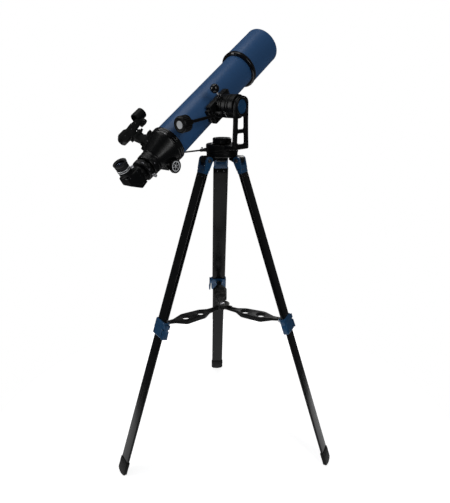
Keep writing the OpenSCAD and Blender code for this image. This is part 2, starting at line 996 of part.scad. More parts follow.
// blue clamp at the lower end of the upper leg
module leg_clamp(turn) {
  color([0.1, 0.27, 0.45])
    on_leg(turn)
      difference() {
        union() {
          flat_bar(-585, -532, 21, 58, 4);
          for (side = [-1, 1])
            hull() {
              translate([clamp_out, side * 11 + 2, -clamp_along])
                rotate([90, 0, 0])
                  cylinder(h = 4, r = 5.5, $fn = 24);
              span_box([-10, side * 11 - 2, -clamp_along - 10], [-6, side * 11 + 2, -clamp_along + 7]);
            }
          translate([clamp_out, 12, -clamp_along])
            rotate([90, 0, 0])
              cylinder(h = 24, r = 2.5, $fn = 24);
          for (side = [-1, 1])
            span_box([side * 9 - 1.6, 27, -551], [side * 9 + 1.6, 36.5, -537]);
          translate([0, 33, -544])
            x_rod(-9, 9, 2);
        }
        flat_bar(-upper_length - 8, -520, upper_depth, upper_width, 3);
        flat_bar(-600, -upper_length - 7, inner_depth, inner_width, 1);
      }
}

// lever that locks the leg length
module clamp_lever(turn) {
  color([0.08, 0.2, 0.36])
    on_leg(turn)
      difference() {
        union() {
          translate([0, 33, -544])
            x_rod(-7, 7, 3.6);
          span_box([-7, 31, -562], [7, 36.4, -544]);
          hull() {
            span_box([-11, 31, -562], [11, 36, -556]);
            span_box([-10, 33, -586], [10, 38.4, -582]);
          }
        }
        translate([0, 33, -544])
          x_rod(-10, 10, 2 + running_gap);
      }
}

// lower leg that slides inside the upper one
module lower_leg(turn) {
  color([0.07, 0.07, 0.08])
    on_leg(turn)
      flat_bar(-leg_length + 14, -lower_start, lower_depth, lower_width, 2);
}

// rubber foot cut level with the floor
module foot(turn) {
  color([0.05, 0.05, 0.05])
    difference() {
      on_leg(turn)
        difference() {
          union() {
            flat_bar(-leg_length + 10, -foot_start, 13, 50, 4);
            hull() {
              flat_bar(-leg_length + 12, -leg_length + 16, 13, 50, 4);
              translate([0, 15, -leg_length + 8])
                sphere(r = 6.5, $fn = 20);
              translate([0, -15, -leg_length + 8])
                sphere(r = 6.5, $fn = 20);
              translate([0, 0, -leg_length + 5])
                sphere(r = 6.5, $fn = 20);
            }
          }
          flat_bar(-leg_length + 14, 0, lower_depth, lower_width, 2);
        }
      translate([0, 0, -60])
        cylinder(h = 60, r = 600);
    }
}

// outline of a tray arm seen from above
module tray_outline() {
  difference() {
    union() {
      translate([tray_inner - 8, -10])
        square([60, 20]);
      translate([tray_reach - 60, -9])
        square([52, 18]);
      hull() {
        translate([147, 0])
          circle(r = 26);
        translate([89, 0])
          circle(r = 22);
        translate([tray_reach - 30, -9])
          square([2, 18]);
        translate([56, -10])
          square([2, 20]);
      }
    }
    translate([tray_inner - 10, -3.7])
      square([38, 7.4]);
  }
}

// leaf-shaped arm with two round eyepiece holes
module tray_arm(turn) {
  color([0.08, 0.08, 0.09])
    at_leg(turn)
      translate([0, 0, tray_height])
        difference() {
          union() {
            translate([0, 0, -1.5])
              linear_extrude(3)
                tray_outline();
            intersection() {
              translate([0, 0, -14])
                linear_extrude(16)
                  difference() {
                    tray_outline();
                    offset(delta = -2.4)
                      tray_outline();
                  }
              translate([0, 40, 0])
                rotate([90, 0, 0])
                  linear_extrude(80)
                    polygon([[0, 2], [230, 2], [230, -4], [200, -4], [172, -13.5], [72, -13.5],
                      [52, -5], [0, -4]]);
            }
            for (along = [89, 147])
              translate([along, 0, -12])
                cylinder(h = 12, r = tray_hole_radius + 2);
            translate([tray_reach, 8.6, 0])
              rotate([90, 0, 0])
                cylinder(h = 17.2, r = 4.6, $fn = 24);
            span_box([tray_reach - 12, -8.6, -3], [tray_reach, 8.6, 3]);
          }
          translate([tray_reach, 12, 0])
            rotate([90, 0, 0])
              cylinder(h = 24, r = 2.5 + running_gap, $fn = 24);
          for (along = [89, 147])
            translate([along, 0, -15])
              cylinder(h = 20, r = tray_hole_radius);
        }
}

// hub between the tray arms: three fins under a round cap
module tray_hub() {
  color([0.08, 0.08, 0.09])
    translate([0, 0, tray_height])
      union() {
        for (turn = [0 : 2])
          at_leg(turn)
            span_box([0, -3, -8], [38, 3, 9.5]);
        translate([0, 0, -12])
          cylinder(h = 22, r = 7.5);
        translate([0, 0, 9])
          cylinder(h = 4, r = tray_cap_radius);
        translate([0, 0, 12.9])
          cylinder(h = 3, r = 6, $fn = 6);
      }
}

// ---------- nodes ----------

tripod_hub();
hinge_pins();
azimuth_base();
mount_arm();
altitude_housing();
altitude_cap();
azimuth_clamp_knob();
altitude_lock_lever();
altitude_fine_shaft();
altitude_fine_knob();
azimuth_fine_shaft();
saddle();
saddle_clamp_knob();
dovetail_bar();
main_tube();
tube_baffles();
front_collar();
dew_shield();
objective_cell();
objective_lens();
rear_cell();
focuser_body();
drawtube();
focus_rack();
adapter_ring();
focus_pinion();
focus_knobs();
diagonal_housing();
diagonal_mirror();
diagonal_thumbscrew();
eyepiece_body();
eyepiece_lens();
eyepiece_eyecup();
eyepiece_thumbscrew();
finder_bracket();
finder_body();
finder_window();
finder_dial();
leg_bracket(0);  // leg_bracket_1
upper_leg(0);  // upper_leg_1
leg_clamp(0);  // leg_clamp_1
clamp_lever(0);  // clamp_lever_1
lower_leg(0);  // lower_leg_1
foot(0);  // foot_1
tray_arm(0);  // tray_arm_1
leg_bracket(1);  // leg_bracket_2
upper_leg(1);  // upper_leg_2
leg_clamp(1);  // leg_clamp_2
clamp_lever(1);  // clamp_lever_2
lower_leg(1);  // lower_leg_2
foot(1);  // foot_2
tray_arm(1);  // tray_arm_2
leg_bracket(2);  // leg_bracket_3
upper_leg(2);  // upper_leg_3
leg_clamp(2);  // leg_clamp_3
clamp_lever(2);  // clamp_lever_3
lower_leg(2);  // lower_leg_3
foot(2);  // foot_3
tray_arm(2);  // tray_arm_3
tray_hub();
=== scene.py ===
"""Refractor telescope on a single-arm altazimuth mount and a folding tripod."""
import bpy, bmesh
from math import cos, pi, radians, sin
from mathutils import Matrix, Vector


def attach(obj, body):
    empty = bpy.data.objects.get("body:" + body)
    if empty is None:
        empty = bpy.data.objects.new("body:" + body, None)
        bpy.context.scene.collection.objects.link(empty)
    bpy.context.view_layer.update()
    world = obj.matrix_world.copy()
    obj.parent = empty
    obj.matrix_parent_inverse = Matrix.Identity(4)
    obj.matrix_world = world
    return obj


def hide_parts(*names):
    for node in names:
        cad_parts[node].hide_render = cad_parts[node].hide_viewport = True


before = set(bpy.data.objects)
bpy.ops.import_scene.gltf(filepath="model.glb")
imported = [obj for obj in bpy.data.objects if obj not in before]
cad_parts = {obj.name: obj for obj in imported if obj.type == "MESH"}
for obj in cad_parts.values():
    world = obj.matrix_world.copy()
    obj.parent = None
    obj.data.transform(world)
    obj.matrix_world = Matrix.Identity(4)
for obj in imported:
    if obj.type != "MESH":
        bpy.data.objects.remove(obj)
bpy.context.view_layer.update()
MESHES = bpy.data.meshes
MM = 0.001
SHARP_EDGE, SHARP_CAD_EDGE = radians(34), radians(28)


# --- frames of the assembly, lengths in millimetres ---

def move(x, y, z):
    return Matrix.Translation((x * MM, y * MM, z * MM))


def turn(axis, degrees):
    return Matrix.Rotation(radians(degrees), 4, axis)


AXIS_HEIGHT = 1195.5
TUBE_ALTITUDE = 32.4
TUBE_OFFSET = -70.3
BASE_TOP = 1082.4
TRAY_HEIGHT, TRAY_PIN = 519, 218
HINGE_OUT, HINGE_HEIGHT, LEG_SLOPE = 60, 1036, 18.82
FIRST_LEG = 13.5
LEGS = (1, 2, 3)

HERE = Matrix.Identity(4)
Z_TO_Y = turn('X', -90)
Z_TO_X = turn('Y', 90)
Z_TO_LEFT = turn('Y', -90)
Z_TO_BACK = turn('X', 90)
Z_DOWN = turn('X', 180)
ALTITUDE = move(0, 0, AXIS_HEIGHT) @ turn('X', TUBE_ALTITUDE)
TUBE = ALTITUDE @ move(TUBE_OFFSET, 0, 0)
OPTICS = TUBE @ Z_TO_Y
FINDER = TUBE @ turn('Y', -42)
ARM_AXIS = move(0, 0, AXIS_HEIGHT) @ Z_TO_X
FOCUS_AXIS = TUBE @ move(0, -244, -38) @ Z_TO_X
EYEPIECE = TUBE @ move(0, -368, 0)
FINE = move(16, -28, 1172.7) @ turn('X', 97)
CABLE = move(0, -25, 1070) @ turn('Y', -9.5) @ Z_TO_LEFT
LOCK = move(14, 0, AXIS_HEIGHT) @ turn('X', 45)


def leg_turn(k):
    return turn('Z', FIRST_LEG + 120 * (k - 1))


def leg_frame(k):
    return leg_turn(k) @ move(HINGE_OUT, 0, HINGE_HEIGHT) @ turn('Y', -LEG_SLOPE)


def new_object(name, data):
    obj = bpy.data.objects.new(name, data)
    bpy.context.scene.collection.objects.link(obj)
    return obj


def evaluated(obj):
    """The mesh of an object with its modifiers or its curve settings applied."""
    bpy.context.view_layer.update()
    return MESHES.new_from_object(obj.evaluated_get(bpy.context.evaluated_depsgraph_get()))


# --- materials ---

class Nodes:
    """Short names for building one material's nodes."""

    def __init__(self, name):
        self.m = bpy.data.materials.new(name)
        self.m.use_nodes = True
        self.t = self.m.node_tree
        self.bsdf = self.t.nodes["Principled BSDF"]
        self.place = self.t.nodes.new("ShaderNodeTexCoord").outputs["Object"]

    def put(self, node, inputs):
        """Sets a node's inputs, or links them where the value is another node's output."""
        for name, value in inputs.items():
            if isinstance(value, bpy.types.NodeSocket):
                self.t.links.new(value, node.inputs[name])
            else:
                node.inputs[name].default_value = value

    def add(self, kind, inputs, **settings):
        n = self.t.nodes.new(kind)
        for k, v in settings.items():
            setattr(n, k, v)
        self.put(n, inputs)
        return n

    def noise(self, scale, detail=2.0, rough=0.5, vector=None):
        return self.add("ShaderNodeTexNoise", {"Scale": scale, "Detail": detail, "Roughness": rough,
            "Vector": vector or self.place}).outputs["Fac"]

    def span(self, value, low, high, to_low, to_high):
        return self.add("ShaderNodeMapRange", {"From Min": low, "From Max": high, "To Min": to_low,
            "To Max": to_high, "Value": value}).outputs["Result"]

    def times(self, a, b, how="MULTIPLY"):
        return self.add("ShaderNodeMath", {0: a, 1: b}, operation=how).outputs[0]

    def mix(self, factor, a, b):
        a, b = ((*v, 1) if isinstance(v, tuple) else v for v in (a, b))
        return self.add("ShaderNodeMix", {"Factor": factor, 6: a, 7: b}, data_type="RGBA").outputs[2]

    def bump(self, height, strength, distance, normal=None):
        inputs = {"Strength": strength, "Distance": distance, "Height": height}
        if normal is not None:
            inputs["Normal"] = normal
        return self.add("ShaderNodeBump", inputs).outputs["Normal"]

    def edges(self, low, high):
        """A mask of raised edges, broken up by noise."""
        geometry = self.add("ShaderNodeNewGeometry", {})
        sharp = self.span(geometry.outputs["Pointiness"], low, high, 0, 1)
        worn = self.span(self.noise(160, 4, 0.65), 0.42, 0.62, 0, 1)
        return self.times(sharp, worn)

    def upward(self):
        """A mask of faces that look up, where dust settles."""
        geometry = self.add("ShaderNodeNewGeometry", {})
        split = self.add("ShaderNodeSeparateXYZ", {0: geometry.outputs["Normal"]})
        up = self.span(split.outputs["Z"], 0.5, 1.0, 0, 1)
        return self.times(up, self.span(self.noise(38, 5, 0.7), 0.45, 0.75, 0, 1))


def finish(name, colour, rough, metallic=0, specular=0.5, coat=(0, 0.1), vary=0.12, vary_scale=14, grain=None,
        wear=None, dust=0, rough_vary=0.06, streak=None, flake=0, sheen=0):
    """A surface with its own colour drift, grain (strength, scale, depth), edge wear and dust."""
    n = Nodes(name)
    darker = tuple(c * (1 - vary) for c in colour)
    lighter = tuple(min(1, c * (1 + vary)) for c in colour)
    tone = n.mix(n.span(n.noise(vary_scale, 4, 0.6), 0.3, 0.7, 0, 1), darker, lighter)
    roughness = n.span(n.noise(vary_scale * 5, 5, 0.65), 0.25, 0.75, rough - rough_vary, rough + rough_vary)
    if flake:
        cells = n.add("ShaderNodeTexVoronoi", {"Scale": 2600, "Vector": n.place})
        speck = n.span(cells.outputs["Distance"], 0.0, 0.35, flake, 0)
        tone = n.mix(speck, tone, tuple(min(1, c * 2.4 + 0.01) for c in colour))
    if wear:
        amount, *worn = wear
        tone = n.mix(n.times(n.edges(0.53, 0.62), amount), tone, tuple(worn))
    if dust:
        mask = n.times(n.upward(), dust)
        tone = n.mix(mask, tone, (0.33, 0.32, 0.30))
        roughness = n.times(roughness, n.times(mask, 0.5), "ADD")
    n.put(n.bsdf, {"Base Color": tone, "Roughness": roughness, "Metallic": metallic, "Specular IOR Level": specular,
        "Coat Weight": coat[0], "Coat Roughness": coat[1], "Sheen Weight": sheen})
    normal = None
    if streak:
        along = n.add("ShaderNodeMapping", {"Scale": streak, "Vector": n.place})
        lines = n.noise(1.0, 3, 0.6, along.outputs["Vector"])
        normal = n.bump(lines, 0.25, 0.00008)
    if grain:
        strength, scale, depth = (*grain, 0.0001)[:3]
        normal = n.bump(n.noise(scale, 3, 0.6), strength, depth, normal)
    if normal is not None:
        n.put(n.bsdf, {"Normal": normal})
    return n.m


def glass(name, tint, coating):
    """Clear coated glass, thin enough to stay readable."""
    n = Nodes(name)
    roughness = n.span(n.noise(30, 4, 0.6), 0.35, 0.7, 0.01, 0.05)
    colour = n.mix(n.span(n.noise(9, 2), 0.3, 0.7, 0, 1), tint, tuple(c * 0.96 for c in tint))
    n.put(n.bsdf, {"Roughness": roughness, "Base Color": colour, "Transmission Weight": 1.0, "IOR": 1.5,
        "Coat Weight": 0.6, "Coat Tint": (*coating, 1)})
    return n.m


MATERIAL = {
    "tube_blue": finish("blue_enamel", (0.028, 0.088, 0.215), 0.42, specular=0.24, coat=(0.1, 0.22),
        vary=0.06, vary_scale=5, grain=(0.12, 420, 0.00012), flake=0.25, dust=0.05, rough_vary=0.04),
    "blue_plastic": finish("blue_moulded_plastic", (0.01, 0.058, 0.14), 0.3, specular=0.3, vary=0.1,
        grain=(0.22, 1500), wear=(0.35, 0.09, 0.18, 0.34), dust=0.08),
    "black_casting": finish("black_cast_metal", (0.003, 0.0032, 0.0036), 0.34, specular=0.17, vary=0.25,
        grain=(0.35, 1100, 0.00016), wear=(0.35, 0.07, 0.07, 0.075), dust=0.1),
    "black_plastic": finish("black_moulded_plastic", (0.003, 0.0032, 0.0036), 0.34, specular=0.17,
        vary=0.2, grain=(0.3, 1700), wear=(0.25, 0.05, 0.05, 0.055), dust=0.08),
    "finder_plastic": finish("finder_moulded_plastic", (0.003, 0.0034, 0.0034), 0.42, specular=0.13,
        vary=0.25, grain=(0.35, 1300, 0.00012), wear=(0.3, 0.06, 0.065, 0.062), dust=0.1),
    "black_rod": finish("black_sleeved_rod", (0.0032, 0.0032, 0.0036), 0.32, specular=0.2, vary=0.15,
        grain=(0.15, 1400)),
    "black_gloss": finish("black_gloss_enamel", (0.003, 0.003, 0.0035), 0.14, specular=0.35,
        coat=(0.12, 0.05), vary=0.15, rough_vary=0.04, dust=0.04),
    "black_aluminium": finish("black_anodised_metal", (0.003, 0.0032, 0.0037), 0.28, specular=0.2,
        vary=0.15, grain=(0.12, 2200, 0.00006), wear=(0.3, 0.2, 0.2, 0.21), dust=0.06),
    "leg_black": finish("black_leg_powder_coat", (0.0028, 0.003, 0.0034), 0.25, specular=0.15, vary=0.2,
        vary_scale=6, grain=(0.18, 800), wear=(0.2, 0.06, 0.06, 0.065), dust=0.06, streak=(240, 240, 3)),
    "tray_black": finish("black_tray_plastic", (0.003, 0.0032, 0.0035), 0.4, specular=0.15, vary=0.15,
        grain=(0.15, 900), wear=(0.25, 0.07, 0.07, 0.075), dust=0.18),
    "rubber": finish("soft_black_rubber", (0.0085, 0.0092, 0.011), 0.55, specular=0.25, vary=0.3,
        grain=(0.5, 2400, 0.00012), sheen=0.05, dust=0.12),
    "rubber_foot": finish("foot_rubber", (0.004, 0.004, 0.0042), 0.66, specular=0.12, vary=0.35,
        vary_scale=30, grain=(0.6, 900, 0.0002), wear=(0.4, 0.05, 0.048, 0.045), dust=0.15),
    "bare_steel": finish("turned_steel", (0.5, 0.5, 0.52), 0.3, metallic=0.75, vary=0.08,
        grain=(0.1, 2600, 0.00005), rough_vary=0.08),
    "dark_steel": finish("blackened_steel", (0.1, 0.1, 0.11), 0.3, metallic=0.85, vary=0.15,
        grain=(0.1, 2400, 0.00005)),
    "silver_ring": finish("bright_silver_ring", (0.66, 0.67, 0.69), 0.3, metallic=0.6, vary=0.05,
        grain=(0.08, 2200, 0.00004)),
    "pale_inlay": finish("pale_inlay_disc", (0.62, 0.64, 0.66), 0.42, specular=0.4, vary=0.05,
        grain=(0.1, 1500)),
    "aluminium_rack": finish("milled_aluminium", (0.58, 0.58, 0.6), 0.34, metallic=1, vary=0.06,
        streak=(900, 20, 20)),
    "dark_liner": finish("flat_black_liner", (0.003, 0.003, 0.0032), 0.9, specular=0.1, vary=0.3,
        grain=(0.4, 1200, 0.0002)),
    "mirror_coating": finish("mirror_coating", (0.86, 0.87, 0.89), 0.03, metallic=1, vary=0.01,
        rough_vary=0.01),
    "objective_glass": glass("coated_objective_glass", (0.9, 0.96, 0.97), (0.55, 0.75, 0.62)),
    "clear_glass": glass("coated_clear_glass", (0.55, 0.6, 0.66), (0.55, 0.62, 0.8)),
}
SLOT = {"finder_plastic": "black_plastic", "black_gloss": "black_aluminium", "silver_ring": "bare_steel",
    "pale_inlay": "bare_steel"}


# --- mesh building ---

def rounded(points, closed=True, steps=4):
    """Rounds the corners of a line of (x, y, radius) points."""
    out, count = [], len(points)
    for i, p in enumerate(points):
        size = p[2] if len(p) > 2 else 0
        tag = p[3] if len(p) > 3 else 0
        ends = not closed and i in (0, count - 1)
        if size <= 0 or ends:
            out.append((p[0], p[1], tag))
            continue
        a, b = points[i - 1], points[(i + 1) % count]
        v = Vector(p[:2])
        to_a, to_b = Vector(a[:2]) - v, Vector(b[:2]) - v
        size = min(size, to_a.length * 0.48, to_b.length * 0.48)
        start, end = v + to_a.normalized() * size, v + to_b.normalized() * size
        for s in range(steps + 1):
            t = s / steps
            q = start * (1 - t) ** 2 + v * 2 * t * (1 - t) + end * t * t
            out.append((q.x, q.y, tag))
    return out


def arc(cx, cy, radius, start, end, steps=12):
    angles = [radians(start + (end - start) * i / steps) for i in range(steps + 1)]
    return [(cx + radius * cos(a), cy + radius * sin(a)) for a in angles]


def circle(radius, steps, cx=0, cy=0):
    return arc(cx, cy, radius, 0, 360 - 360 / steps, steps - 1)


def hexagon(radius):
    return [(radius * cos(pi * i / 3), radius * sin(pi * i / 3)) for i in range(6)]


def rod(radius, low, high, edge=0, top=None):
    """The profile of a round bar; both its edges may be rounded, or the top one by itself."""
    return [(0, low), (radius, low, edge), (radius, high, edge if top is None else top), (0, high)]


def closed_ring(outer, inner, low, high, lip=0.5):
    return [(inner, low, lip), (outer, low, lip), (outer, high, lip), (inner, high, lip)]


def convex(points):
    """The convex outline round a set of points."""
    pts = sorted(set((round(x, 5), round(y, 5)) for x, y in points))

    def half(seq):
        out = []
        for p in seq:
            while len(out) > 1 and ((out[-1][0] - out[-2][0]) * (p[1] - out[-2][1]) - (out[-1][1] - out[-2][1])
                    * (p[0] - out[-2][0])) <= 0:
                out.pop()
            out.append(p)
        return out[:-1]
    return half(pts) + half(reversed(pts))


def round_edges(part, edges, size, steps):
    bmesh.ops.bevel(part, geom=edges, offset=size, segments=steps, profile=0.5, affect="EDGES", clamp_overlap=True)


class Piece:
    """One object under construction; its meshes are given in millimetres in a local frame."""

    def __init__(self, name, body, material, *replaces, slot=None):
        self.name, self.body, self.replaced = name, body, replaces
        self.materials = [material]
        self.slot = slot or SLOT.get(material, material)
        self.bm = bmesh.new()

    def tag(self, material):
        if material not in self.materials:
            self.materials.append(material)
        return self.materials.index(material)

    def take(self, part, at, material=None, scale=MM, tagged=False):
        """Adds a finished part, closed and facing outward, in its place."""
        index = self.tag(material) if material else 0
        bmesh.ops.recalc_face_normals(part, faces=part.faces)
        if index or not tagged:
            for f in part.faces:
                f.material_index = index
        mesh = MESHES.new("part")
        part.to_mesh(mesh)
        part.free()
        mesh.transform(at @ Matrix.Scale(scale, 4))
        self.bm.from_mesh(mesh)
        MESHES.remove(mesh)

    def lathe(self, at, profile, sides=96, closed=False, grip=None, material=None):
        """Turns a profile of (radius, height, rounding) round the local Z axis."""
        part = bmesh.new()
        line = rounded(profile, closed)
        rings = []
        for radius, height, tag in line:
            if radius < 1e-6:
                rings.append([part.verts.new((0, 0, height))] * sides)
                continue
            ring = []
            for i in range(sides):
                a, r = 2 * pi * i / sides, radius
                if grip and grip[2] <= height <= grip[3] and radius > grip[4]:
                    r -= grip[1] * grip[5](0.5 - 0.5 * cos(a * grip[0]))
                ring.append(part.verts.new((r * cos(a), r * sin(a), height)))
            rings.append(ring)
        for j in range(len(rings) if closed else len(rings) - 1):
            lower, upper = rings[j], rings[(j + 1) % len(rings)]
            for i in range(sides):
                k = (i + 1) % sides
                corners = []
                for v in (lower[i], lower[k], upper[k], upper[i]):
                    if v not in corners:
                        corners.append(v)
                if len(corners) > 2:
                    part.faces.new(corners).material_index = line[j][2]
        self.take(part, at, material, tagged=True)

    def plate(self, at, outlines, low, high, bevel=0.6, material=None):
        """Extrudes an outline with holes in the local XY plane, with rounded edges."""
        curve = bpy.data.curves.new("outline", "CURVE")
        curve.dimensions = "2D"
        curve.fill_mode = "BOTH"
        for points in outlines:
            spline = curve.splines.new("POLY")
            spline.points.add(len(points) - 1)
            for q, p in zip(spline.points, points):
                q.co = (p[0], p[1], 0, 1)
            spline.use_cyclic_u = True
        curve.extrude = (high - low) / 2 - bevel
        curve.bevel_depth = bevel
        curve.bevel_resolution = 2
        curve.offset = -bevel
        holder = new_object("outline", curve)
        mesh = evaluated(holder)
        bpy.data.objects.remove(holder)
        bpy.data.curves.remove(curve)
        part = bmesh.new()
        part.from_mesh(mesh)
        MESHES.remove(mesh)
        bmesh.ops.remove_doubles(part, verts=part.verts, dist=1e-4)
        self.take(part, at @ Matrix.Translation((0, 0, (low + high) / 2 * MM)), material)

    def block(self, at, low, high, bevel=1, steps=3, material=None):
        """A box between two corners with rounded edges."""
        part = bmesh.new()
        for v in bmesh.ops.create_cube(part, size=1)["verts"]:
            v.co = [(l + h) / 2 + c * (h - l) for l, h, c in zip(low, high, v.co)]
        if bevel:
            round_edges(part, part.edges[:], bevel, steps)
        self.take(part, at, material)

    def loft(self, at, loops, closed=False, material=None):
        """Skins matching loops of points; a closed loft joins the last loop to the first."""
        part = bmesh.new()
        rings = [[part.verts.new(p) for p in loop] for loop in loops]
        count = len(rings[0])
        for j in range(len(rings) if closed else len(rings) - 1):
            lower, upper = rings[j], rings[(j + 1) % len(rings)]
            for i in range(count):
                k = (i + 1) % count
                part.faces.new((lower[i], lower[k], upper[k], upper[i]))
        if not closed:
            part.faces.new(list(reversed(rings[0])))
            part.faces.new(rings[-1])
        self.take(part, at, material)

    def soften(self, node, bevel, steps):
        """Takes over a CAD node's own shape and rounds its edges."""
        part = bmesh.new()
        part.from_mesh(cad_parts[node].data)
        bmesh.ops.remove_doubles(part, verts=part.verts, dist=2e-6)
        bmesh.ops.dissolve_limit(part, angle_limit=radians(0.8), verts=part.verts, edges=part.edges)
        sharp = [e for e in part.edges if len(e.link_faces) == 2 and e.calc_face_angle() > SHARP_CAD_EDGE]
        round_edges(part, sharp, bevel * MM, steps)
        self.take(part, HERE, scale=1)

    def screw(self, at, radius=2.2, height=1.4, material="dark_steel"):
        """A pan-head screw with a recess, standing on local Z = 0."""
        self.lathe(at, [(0, -0.6), (radius, -0.6), (radius, height * 0.45, 0.3), (radius * 0.72, height, 0.6),
            (radius * 0.3, height), (radius * 0.24, height * 0.25), (0, height * 0.15)], 24, material=material)

    def screws_beside(self, at, out, places, *look):
        """Screws on the left and right faces, at the same (y, z) places of both."""
        for side in (-1, 1):
            for y, z in places:
                self.screw(at @ move(side * out, y, z) @ turn('Y', 90 * side), *look)

    def screws_round(self, at, angles, out, height, *look):
        """Screws that stand outward on a cylinder round the local Z axis."""
        for a in angles:
            self.screw(at @ turn('Z', a) @ move(out, 0, height) @ Z_TO_X, *look)

    def done(self):
        mesh = MESHES.new(self.name)
        self.bm.to_mesh(mesh)
        self.bm.free()
        for name in self.materials:
            mesh.materials.append(MATERIAL[name])
        mesh.shade_smooth()
        mesh.set_sharp_from_angle(angle=SHARP_EDGE)
        obj = new_object(self.name, mesh)
        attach(obj, self.body)
        if self.replaced:
            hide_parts(*self.replaced)
        return obj


def loose(method, *values):
    """An object made by one method of Piece, used only while cutting."""
    tool = Piece("loose", None, "dark_liner")
    getattr(tool, method)(*values)
    mesh = MESHES.new("loose")
    tool.bm.to_mesh(mesh)
    tool.bm.free()
    return new_object("loose", mesh)


def carve(piece, shape, *cutters):
    """Adds a shape to the piece, less the closed cutters; each is a method's name and values."""
    solid, *tools = [loose(*each) for each in (shape, *cutters)]
    for tool in tools:
        change = solid.modifiers.new("cut", "BOOLEAN")
        change.operation = "DIFFERENCE"
        change.solver = "EXACT"
        change.object = tool
    mesh = evaluated(solid)
    part = bmesh.new()
    part.from_mesh(mesh)
    for obj in [solid] + tools:
        data = obj.data
        bpy.data.objects.remove(obj)
        MESHES.remove(data)
    MESHES.remove(mesh)
    piece.take(part, HERE, scale=1)


def ribs(share):
    """Grip shape with flat ribs and narrow grooves."""
    return lambda s: max(0, (s - share) / (1 - share)) ** 0.7


def flat_loop(depth, width, corner, z, crown=0, steps=5):
    """A rounded rectangle at height z, its long faces crowned outward by a little."""
    x, y = depth / 2, width / 2
    corner = min(corner, x - 0.01, y - 0.01)
    points = []
    for cx, cy, start in ((x - corner, y - corner, 0), (-x + corner, y - corner, 90),
            (-x + corner, -y + corner, 180), (x - corner, -y + corner, 270)):
        for px, py in arc(cx, cy, corner, start, start + 90, steps):
            points.append((px, py, z))
    return [(px * (1 + crown * (1 - (py / y) ** 2)), py, pz) for px, py, pz in points]


def inset_line(points, gap):
    """Moves a closed outline inward by a fixed gap."""
    area = sum(a[0] * b[1] - b[0] * a[1] for a, b in zip(points, points[1:] + points[:1]))
    sign, out, count = (1 if area > 0 else -1), [], len(points)
    for i in range(count):
        a, b, c = Vector(points[i - 1]), Vector(points[i]), Vector(points[(i + 1) % count])
        d1, d2 = (b - a).normalized(), (c - b).normalized()
        n1, n2 = Vector((-d1.y, d1.x)) * sign, Vector((-d2.y, d2.x)) * sign
        n = n1 + n2
        if n.length < 1e-6:
            n = n1
        n.normalize()
        out.append(tuple(b + n * (gap / max(0.5, n.dot(n1)))))
    return out


def flat_loops(*sizes):
    return [flat_loop(*size) for size in sizes]


# --- optical tube ---

p = Piece("tube_shell", "telescope", "tube_blue", "main_tube")
inside = p.tag("dark_liner")
p.lathe(OPTICS, [(51, -196, 0.3), (52.5, -196, 0.3), (52.5, 204, 0.3), (51, 204, 0.3, inside)], 144, True)
for s in (-183, -109):
    p.screws_round(OPTICS, (96, 216, 336), 52.4, s, 1.7, 1, "black_gloss")
p.done()

p = Piece("baffle_rings", "telescope", "dark_liner", "tube_baffles")
for s, inner in ((120, 45), (0, 40), (-110, 34)):
    p.lathe(OPTICS, closed_ring(50.9, inner, s, s + 1.5, 0.4), 96, True)
p.done()

p = Piece("collar_ring", "telescope", "black_gloss", "front_collar")
p.lathe(OPTICS, [(52.6, 195.5, 0.4), (59.2, 195.5, 0.5), (60.4, 196.6, 0.5), (62, 196.8, 1), (63.2, 198.4, 1),
    (63.2, 204.6, 1.2), (62.2, 206.4, 0.6), (62.2, 208.3, 0.4), (61.9, 209.5, 0.3), (58.2, 209.5, 0.3),
    (58.2, 204.1, 0.3), (52.6, 204.1, 0.3)], 144, True)
p.done()

p = Piece("shield_shell", "telescope", "tube_blue", "dew_shield")
inside = p.tag("dark_liner")
p.lathe(OPTICS, [(60.2, 209.7, 0.3), (61.6, 209.7, 0.4), (61.6, 343.4, 0.5), (61.8, 344.2, 0.5), (61.8, 348.4, 0.8),
    (61.2, 349.2, 0.4), (59.4, 349.2, 0.4, inside), (59.4, 238, 0.2, inside), (60.2, 238, 0.2, inside)], 144, True)
for i in range(14):
    s = 244 + i * 7.4
    p.lathe(OPTICS, [(59.45, s, 0.1), (58.9, s + 0.6, 0.2), (59.45, s + 1.2, 0.1)], 96, True, material="dark_liner")
p.done()

p = Piece("objective_ring", "telescope", "black_aluminium", "objective_cell")
p.lathe(OPTICS, [(51.2, 231.2, 0.2), (52.4, 231), (52.4, 209.2), (51.2, 209), (51.2, 204.2, 0.3),
    (57.9, 204.2, 0.3), (57.9, 209.6), (60.1, 209.8, 0.2), (60.1, 214.4, 0.4), (58, 214.6, 0.2), (58, 234.8, 0.8),
    (56.9, 236, 0.5), (54.4, 236, 0.3), (54.2, 234.4, 0.2), (52.6, 234.2, 0.2), (52.4, 235.6, 0.3),
    (51.2, 235.6, 0.3)], 144, True, grip=(72, 0.25, 234.9, 235.9, 56, ribs(0.3)))
for a in (35, 155, 275):
    p.screw(OPTICS @ turn('Z', a) @ move(55.6, 0, 236), 1.5, 0.9, "bare_steel")
p.done()

p = Piece("objective_elements", "telescope", "objective_glass", "objective_lens")
crown = [(0, 230)] + [(52.3 * i / 10, 230 - 4.2 * (i / 10) ** 2) for i in range(1, 11)]
crown += [(52.3 * i / 10, 217 + 3.9 * (i / 10) ** 2) for i in range(10, 0, -1)] + [(0, 217)]
p.lathe(OPTICS, crown, 128)
flint = [(0, 216.5)] + [(52.3 * i / 10, 216.5 + 3.9 * (i / 10) ** 2) for i in range(1, 11)]
flint += [(52.3, 209.7), (0, 209.7)]
p.lathe(OPTICS, flint, 128)
p.done()

# --- focuser ---

